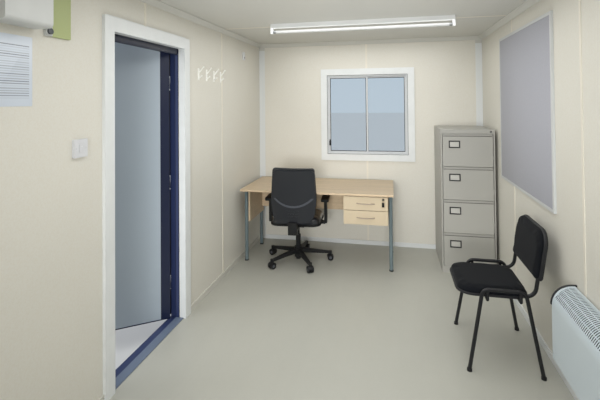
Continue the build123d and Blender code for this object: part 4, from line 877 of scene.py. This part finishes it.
class CABIN_OT_fittings(bpy.types.Operator):
    """Finish the light, the switch, the hooks, the pin board, the wall unit and the notice"""

    bl_idname = "cabin.fittings"
    bl_label = "Wall and ceiling fittings"

    def execute(self, context):
        hue = context.scene.cabin_colours
        grey_white = linear("#C4C6C4")
        paint(sprayed_enamel("white enamel, sprayed", linear("#E0E2E2"), 0.32), "light_batten")
        paint(moulded_plastic("opal glass tube", linear("#CDCECE"), 0.2, 30.0), "light_tube")
        paint(moulded_plastic("white moulded plastic", linear("#CFD0D3"), 0.33),
              "light_switch", "wall_sensor")
        paint(moulded_plastic("grey-white moulded cover", grey_white, 0.4), "wall_unit")
        paint(split_material("moulded back plate, part green", 1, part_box("unit_board")[0].y + 35 * MM,
                             grey_white, hue.unit_green), "unit_board")
        paint(sprayed_enamel("white coated wire", linear("#F2F2EE"), 0.3), "coat_hooks")
        dark = soft_rubber("dark grey moulded plastic", linear("#4A4D50"))

        low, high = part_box("light_tube")
        middle = (low + high) / 2
        caps = [peg("cap", (x, middle.y, middle.z), (x + 24 * MM, middle.y, middle.z), 13.6 * MM, 1.5 * MM)
                for x in (low.x + 0.5 * MM, high.x - 24.5 * MM)]
        done(joined("tube_caps", caps),
             drawn_metal("aluminium end caps, pressed", linear("#AEB1B3"), 0.35, 0))

        low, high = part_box("light_switch")
        middle, face = (low + high) / 2, low.x + 14 * MM
        rocker = box("switch_rocker", (face - 1.5 * MM, middle.y - 6 * MM, middle.z - 13 * MM),
                     (face + 3.2 * MM, middle.y + 6 * MM, middle.z + 13 * MM))
        rocker = rounded(turned(rocker, (face, middle.y, middle.z), math.radians(7), "Y"), 1.2 * MM)
        done(rocker, moulded_plastic("white moulded rocker", linear("#DCDDE0"), 0.3))
        inner, outer = face - 0.5 * MM, face + 1.2 * MM
        heads = [peg("head", (inner, y, middle.z), (outer, y, middle.z), 3.4 * MM, 0.5 * MM, 20)
                 for y in (middle.y - 33 * MM, middle.y + 33 * MM)]
        done(joined("switch_screws", heads),
             sprayed_enamel("white-coated screw heads", linear("#C4C6C8"), 0.35))

        low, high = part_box("wall_sensor")
        lens = slab("sensor_lens", (high.x - 1.0 * MM, low.y + 10 * MM, low.z + 14 * MM),
                    (high.x + 1.5 * MM, high.y - 10 * MM, low.z + 34 * MM), 1.2 * MM)
        done(lens, dark)

        low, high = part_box("unit_board")
        cover = box("board_edge", (high.x - 1.0 * MM, low.y, low.z + 1.0 * MM),
                    (high.x + 4.0 * MM, low.y + 36 * MM, high.z - 1.0 * MM))
        corners_rounded(cover, 0, 15 * MM, 8, lambda place: place.y < low.y + 5 * MM)
        done(rounded(cover, 1.2 * MM, 2),
             moulded_plastic("grey-white moulded edge", grey_white, 0.38))
        at = Vector((high.x + 3.5 * MM, low.y + 19 * MM, low.z + 21 * MM))
        knob = rod("board_knob", at, at + Vector((9.5 * MM, 0, 0)), 14 * MM, 32)
        inset_end(knob, (1, 0, 0), (4 * MM, 0.0), (1.5 * MM, -2.5 * MM))
        done(rounded(knob, 0.6 * MM, 2), dark)

        sheet = box("notice", (-1.2299, -0.46, 1.755), (-1.2287, -0.25, 2.052))
        done(rounded(corners_rounded(sheet, 0, 5 * MM, 4), 0.3 * MM, 2),
             printed_sheet("paper in clear film, laminated", (-0.446, -0.266), (1.785, 2.015)))

        low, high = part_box("pin_board")
        paint(moulded_plastic("white board rim, wrapped", shade(hue.trim_white, 0.78), 0.4, 3.0),
              "pin_board")
        rim = 20.6 * MM
        panel = slab("board_felt", (low.x + 0.6 * MM, low.y + rim, low.z + rim),
                     (low.x + 4.2 * MM, high.y - rim, high.z - rim), 1.0 * MM, 2)
        done(panel, needled_felt("lilac-grey felt, needled", hue.board_lilac))
        return {"FINISHED"}


class CABIN_OT_heater(bpy.types.Operator):
    """Finish the heater, with its bars over the rounded edge, the painted shade of its well and its black end
    caps
    """

    bl_idname = "cabin.heater"
    bl_label = "Heater"

    def execute(self, context):
        white = context.scene.cabin_colours.heater_white
        enamel = sprayed_enamel("pale enamel, stove finished", white, 0.3)
        paint(enamel, "heater_case")
        low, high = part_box("heater_case")
        round_edge, bar_width, thickness = 105 * MM, 5.0 * MM, 2.2 * MM
        centre = (low.x + round_edge, 0.0, high.z - round_edge)
        first, last = low.y + 14.3 * MM, high.y - 14.3 * MM
        count = int((last - first) / context.scene.cabin_sizes.grille_pitch)
        tilt, top, band = math.radians(22.4), math.radians(89.8), math.radians(1.8)

        def strip(name, start, width, outer, depth, turn, sweep, steps):
            corner = (centre[0] - outer, start, centre[2])
            made = bent_strip(name, centre, (0, 1, 0), corner, (depth, width, 0), sweep, steps)
            return turned(made, centre, turn, "Y")

        bar = strip("bar", first, bar_width, round_edge - 0.3 * MM, thickness, tilt, top - tilt, 14)
        repeated(bar, count, (0, (last - first - bar_width) / (count - 1), 0))
        bands = [strip("band", first, last - first, round_edge - 1.4 * MM, thickness,
                       tilt + k * (top - tilt - band) / 4, band, 2) for k in range(5)]
        done(joined("heater_bars", [bar] + bands), enamel, replaced="heater_grille")
        dark = soft_rubber("black paint on the end caps, and painted shade in the well", linear("#1B1C1E"))
        # A black sheet under the grille stands for the shade inside the heater: painted shade.
        well = strip("heater_well_shade", first, last - first, round_edge - 12 * MM, 1.0 * MM, math.radians(16),
                     math.radians(73), 12)
        done(well, dark)
        ends = []
        rim, crown, depth = 12 * MM, round_edge + 5 * MM, 9 * MM
        for start in (low.y - 9 * MM, high.y - 3 * MM):
            ends.append(strip("end", start, rim, crown, depth, 0.0, math.radians(90), 18))
            ends.append(box("tail", (centre[0] - 0.5 * MM, start, centre[2] + crown - depth),
                            (high.x + 8 * MM, start + rim, centre[2] + crown)))
        done(joined("heater_ends", [rounded(end, 1.2 * MM, 2) for end in ends]), dark)
        return {"FINISHED"}


class CABIN_OT_desk(bpy.types.Operator):
    """Finish the desk and its drawers, and fit the drawer lock and its key"""

    bl_idname = "cabin.desk"
    bl_label = "Desk"

    def execute(self, context):
        hue = context.scene.cabin_colours
        paint(beech_laminate("beech laminate, grain across", hue.beech), "desk_top")
        paint(beech_laminate("pale beech laminate, drawer grain", shade(hue.beech, 1.08)),
              "desk_panels", "pedestal_case")
        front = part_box("pedestal_case")[0].y - 21 * MM
        paint(split_material("beech drawer front, satin bow handle", 1, front - 0.3 * MM, linear("#A5988A"),
                             linear("#C6B79D")), "desk_drawer_1", "desk_drawer_2")
        glide_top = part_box("desk_legs")[0].z + 12 * MM
        paint(split_material("powder-coated leg on a black glide", 2, glide_top, linear("#1D1E20"),
                             hue.desk_steel), "desk_legs")
        at = Vector((0.203, front, 0.851))

        def beside(x, y, z):
            return at + Vector((x, y, z)) * MM

        parts = [
            peg("barrel", at, beside(0, -5, 0), 10.5 * MM, 0.8 * MM, 28),
            slab("stem", beside(-1.5, -15, -3.5), beside(1.5, -4, 3.5), 0.5 * MM, 2),
            slab("fob", beside(-11, -19, -66), beside(11, -14, -24), 2.2 * MM),
            framed("ring", beside(-5, -17.2, -27), beside(5, -15.4, 4), 1.6 * MM, 1, 0.4 * MM),
        ]
        done(joined("drawer_lock", parts),
             moulded_plastic("black moulded key and lock", linear("#0E0F11"), 0.5), "upper_desk_drawer")
        return {"FINISHED"}


class CABIN_OT_cabinet(bpy.types.Operator):
    """Finish the filing cabinet, with its label frames, cards, painted shade lines along the pulls, and lock
    """

    bl_idname = "cabin.cabinet"
    bl_label = "Filing cabinet"

    def execute(self, context):
        grey = context.scene.cabin_colours.cabinet_grey
        sizes = context.scene.cabin_sizes
        paint(sprayed_enamel("grey enamel, stove finished", grey, 0.4, 5.0),
              "cabinet_case", *(f"cabinet_drawer_{number}" for number in range(1, 5)))
        black = moulded_plastic("black moulded label frame", linear("#2A2B2D"), 0.4)
        card = plain_card("pale card", linear("#B9B8B2"))
        recess_shade = sprayed_enamel("dark grey painted shade in the pull recess", shade(grey, 0.32), 0.45)
        margin = 4 * MM
        for number in range(1, 5):
            low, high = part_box(f"cabinet_drawer_{number}")
            body = f"file_drawer_{number}"
            left, top = low.x + 53 * MM, high.z - 62 * MM
            right, foot = left + sizes.label_width, top - sizes.label_height
            holder = framed(f"label_frame_{number}", (left, low.y - 5 * MM, foot),
                            (right, low.y + 0.5 * MM, top), 10 * MM, 1, 1.2 * MM)
            done(holder, black, body)
            inner = slab(f"label_card_{number}", (left + margin, low.y - 1.2 * MM, foot + margin),
                         (right - margin, low.y + 0.2 * MM, top - margin), 0.3 * MM, 2)
            done(inner, card, body)
            # A dark strip along the foot of each pull recess: painted shade where the recess's edge shadows
            # the drawer front.
            lip = slab(f"pull_recess_shade_{number}", (low.x + margin, low.y - 1.0 * MM, high.z - 24 * MM),
                       (high.x - margin, low.y + 1.0 * MM, high.z - 18.5 * MM), 0.8 * MM, 2)
            done(lip, recess_shade, body)
        low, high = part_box("cabinet_case")
        at = Vector((high.x - 33 * MM, low.y, high.z - 19 * MM))
        barrel = rod("cabinet_lock", at, at + Vector((0, -5 * MM, 0)), 9 * MM, 28)
        inset_end(barrel, (0, -1, 0), (3 * MM, 0.0), (0.5 * MM, -1.5 * MM))
        done(rounded(barrel, 0.5 * MM, 2),
             drawn_metal("chromed lock barrel", linear("#8E9092"), 0.25, 1))
        return {"FINISHED"}


class CABIN_OT_office_chair(bpy.types.Operator):
    """Upholster the office chair, and fit its seat pan, back ribs, castor hoods and wheel faces"""

    bl_idname = "cabin.office_chair"
    bl_label = "Office chair"

    def execute(self, context):
        hue = context.scene.cabin_colours
        sizes = context.scene.cabin_sizes
        nylon = moulded_plastic("black glass-filled nylon", linear("#17181A"), 0.5)
        paint(nylon, "office_chair_base", "office_chair_frame")
        charcoal = moulded_plastic("charcoal moulded shell", hue.shell_charcoal, 0.44)
        # The raised arc on the back shell is painted a lighter charcoal: a painted highlight where it catches
        # the light.
        raised = moulded_plastic("charcoal moulded shell with its raised arc", hue.shell_charcoal, 0.44)
        paint(banded(raised, (-0.6177, 0.0, 1.032), 1, 0.2405, 0.2585, linear("#474A51"), below=0.858),
              "office_chair_back")
        cover = leathercloth("black leathercloth", shade(hue.chair_black, 2.1))
        centre, turn, half_back = Vector((-0.64, 2.335, 0.0)), math.radians(4), 30 * MM

        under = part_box("office_chair_seat")[0].z
        seat = cut_flat(cad_copy("office_seat", "office_chair_seat", 5 * MM), under + 17 * MM)
        stuffed(seat, lambda place: place.z < under + 24 * MM, sizes)
        cushioned(seat, cover, "office_chair_seat")
        pan = box("seat_pan", (-0.885, 2.1, under), (-0.395, 2.55, under + 19 * MM))
        corners_rounded(pan, 2, 0.09, 10)
        inset_end(pan, (0, 0, -1), (14 * MM, 0.0))
        inset_end(pan, (0, 0, 1), (6 * MM, -3 * MM))
        done(rounded(turned(pan, centre, turn), 4 * MM), nylon)

        padding = cad_copy("office_back", "office_chair_back_pad", 5 * MM)
        choose(padding)
        bpy.ops.transform.resize(value=(1.10, 1.0, 1.05), center_override=(-0.6177, 2.05, 0.80))
        settle(padding)
        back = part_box("office_chair_back")[0].y
        stuffed(padding, lambda place: place.y < back + half_back + 0.2 * abs(place.x - centre.x), sizes)
        cushioned(padding, cover, "office_chair_back_pad")
        ribs = []
        bend, half = Vector((centre.x, 2.665, 0.0)), math.radians(4.6)
        for level in (0.690, 0.716, 0.742):
            corner = bend + Vector((0, -0.6525, level))
            rib = bent_strip("rib", bend, (0, 0, 1), corner, (0, 3.5 * MM, 6 * MM), 2 * half, 12)
            ribs.append(rounded(turned(rib, bend, -half), 1.0 * MM, 2))
        done(turned(joined("back_ribs", ribs), centre, turn), charcoal)

        hoods, discs = [], []
        first_leg, leg_length, axle_height = 14.6, 0.32, 0.199
        for leg in range(5):
            about = math.radians(first_leg + 72 * leg)
            ahead = Vector((math.cos(about), math.sin(about), 0.0))
            beside = Vector((-math.sin(about), math.cos(about), 0.0))
            tip = centre + leg_length * ahead + Vector((0, 0, axle_height))
            corner = tip - Vector((34, 27, 0)) * MM
            hood = bent_strip("hood", tip, (0, 1, 0), corner, (2.5 * MM, 54 * MM, 0), math.radians(150), 14)
            hoods.append(turned(rounded(turned(hood, tip, math.radians(15), "Y"), 0.8 * MM, 2), tip, about))
            for side in (-beside, beside):
                discs.append(peg("disc", tip + side * 26 * MM, tip + side * 28.5 * MM, 13 * MM, 1.0 * MM))
        done(joined("castor_hoods", hoods), nylon)
        done(joined("castor_discs", discs),
             moulded_plastic("grey moulded wheel face", linear("#505257"), 0.4))
        return {"FINISHED"}


class CABIN_OT_visitor_chair(bpy.types.Operator):
    """Upholster the visitor chair, and fit the shells under its seat and behind its back"""

    bl_idname = "cabin.visitor_chair"
    bl_label = "Visitor chair"

    def execute(self, context):
        sizes = context.scene.cabin_sizes
        paint(sprayed_enamel("black epoxy-coated tube", linear("#141518"), 0.4), "visitor_chair_frame")
        black = context.scene.cabin_colours.chair_black
        cover = woven_cover("black woven cover, visitor chair", black, sizes.weave)
        shell = moulded_plastic("black moulded under-shell", linear("#1C1D20"), 0.5)
        low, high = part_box("visitor_chair_seat")
        under = low.z
        seat = cut_flat(cad_copy("visitor_seat", "visitor_chair_seat", 4 * MM), under + 12 * MM)
        stuffed(seat, lambda place: place.z < under + 17 * MM, sizes, 0.8)
        cushioned(seat, cover, "visitor_chair_seat")
        pan = corners_rounded(box("visitor_seat_pan", low, (high.x, high.y, low.z + 14 * MM)), 2, 0.099, 10)
        done(rounded(pan, 4 * MM), shell)

        low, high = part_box("visitor_chair_back")
        lean, thick = math.radians(9), 23 * MM
        middle, half, height = (low.y + high.y) / 2, (high.y - low.y) / 2, 0.294
        top_corner, foot_corner = 0.10, 0.03
        foot = Vector((low.x + thick * math.cos(lean), middle, low.z + thick * math.sin(lean)))

        def leaning(name, front, rear, margin):
            made = box(name, (foot.x + front, foot.y - half + margin, foot.z + margin),
                       (foot.x + rear, foot.y + half - margin, foot.z + height - margin))
            corners_rounded(made, 0, top_corner - margin, 12, lambda place: place.z > foot.z + height / 2)
            corners_rounded(made, 0, foot_corner - margin / 2, 6, lambda place: place.z < foot.z + height / 2)
            return rounded(made, 9 * MM)

        pad = leaning("visitor_back", -21 * MM, 3 * MM, 4 * MM)
        stuffed(pad, lambda place: place.x > foot.x - 2 * MM, sizes, 0.7)
        cushioned(turned(pad, foot, lean, "Y"), cover, "visitor_chair_back")
        rear = leaning("visitor_back_shell", -1 * MM, thick, 0.5 * MM)
        done(turned(rear, foot, lean, "Y"), shell)
        return {"FINISHED"}


OPERATORS = (CABIN_OT_stage, CABIN_OT_shell, CABIN_OT_linings, CABIN_OT_door, CABIN_OT_window,
             CABIN_OT_fittings, CABIN_OT_heater, CABIN_OT_desk, CABIN_OT_cabinet,
             CABIN_OT_office_chair, CABIN_OT_visitor_chair)
GROUPS = (CabinColours, CabinLamps, CabinSizes)


class CABIN_PT_panel(bpy.types.Panel):
    """Buttons for each group of pieces, and the values that they use"""

    bl_idname = "CABIN_PT_panel"
    bl_label = "Portable site cabin"
    bl_space_type = "VIEW_3D"
    bl_region_type = "UI"
    bl_category = "Cabin"

    def draw(self, context):
        for operator in OPERATORS:
            self.layout.operator(operator.bl_idname)
        for group in (context.scene.cabin_colours, context.scene.cabin_lamps, context.scene.cabin_sizes):
            for name in group.bl_rna.properties.keys():
                if name not in ("rna_type", "name"):
                    self.layout.prop(group, name)


def register():
    for group in GROUPS + OPERATORS + (CABIN_PT_panel,):
        bpy.utils.register_class(group)
    bpy.types.Scene.cabin_colours = bpy.props.PointerProperty(type=CabinColours)
    bpy.types.Scene.cabin_lamps = bpy.props.PointerProperty(type=CabinLamps)
    bpy.types.Scene.cabin_sizes = bpy.props.PointerProperty(type=CabinSizes)


def unregister():
    del bpy.types.Scene.cabin_colours, bpy.types.Scene.cabin_lamps, bpy.types.Scene.cabin_sizes
    for group in reversed(GROUPS + OPERATORS + (CABIN_PT_panel,)):
        bpy.utils.unregister_class(group)


def main():
    register()
    bpy.ops.cabin.stage()
    bpy.ops.cabin.shell()
    bpy.ops.cabin.linings()
    bpy.ops.cabin.door()
    bpy.ops.cabin.window()
    bpy.ops.cabin.fittings()
    bpy.ops.cabin.heater()
    bpy.ops.cabin.desk()
    bpy.ops.cabin.cabinet()
    bpy.ops.cabin.office_chair()
    bpy.ops.cabin.visitor_chair()
    deselect()


if __name__ == "__main__":
    main()
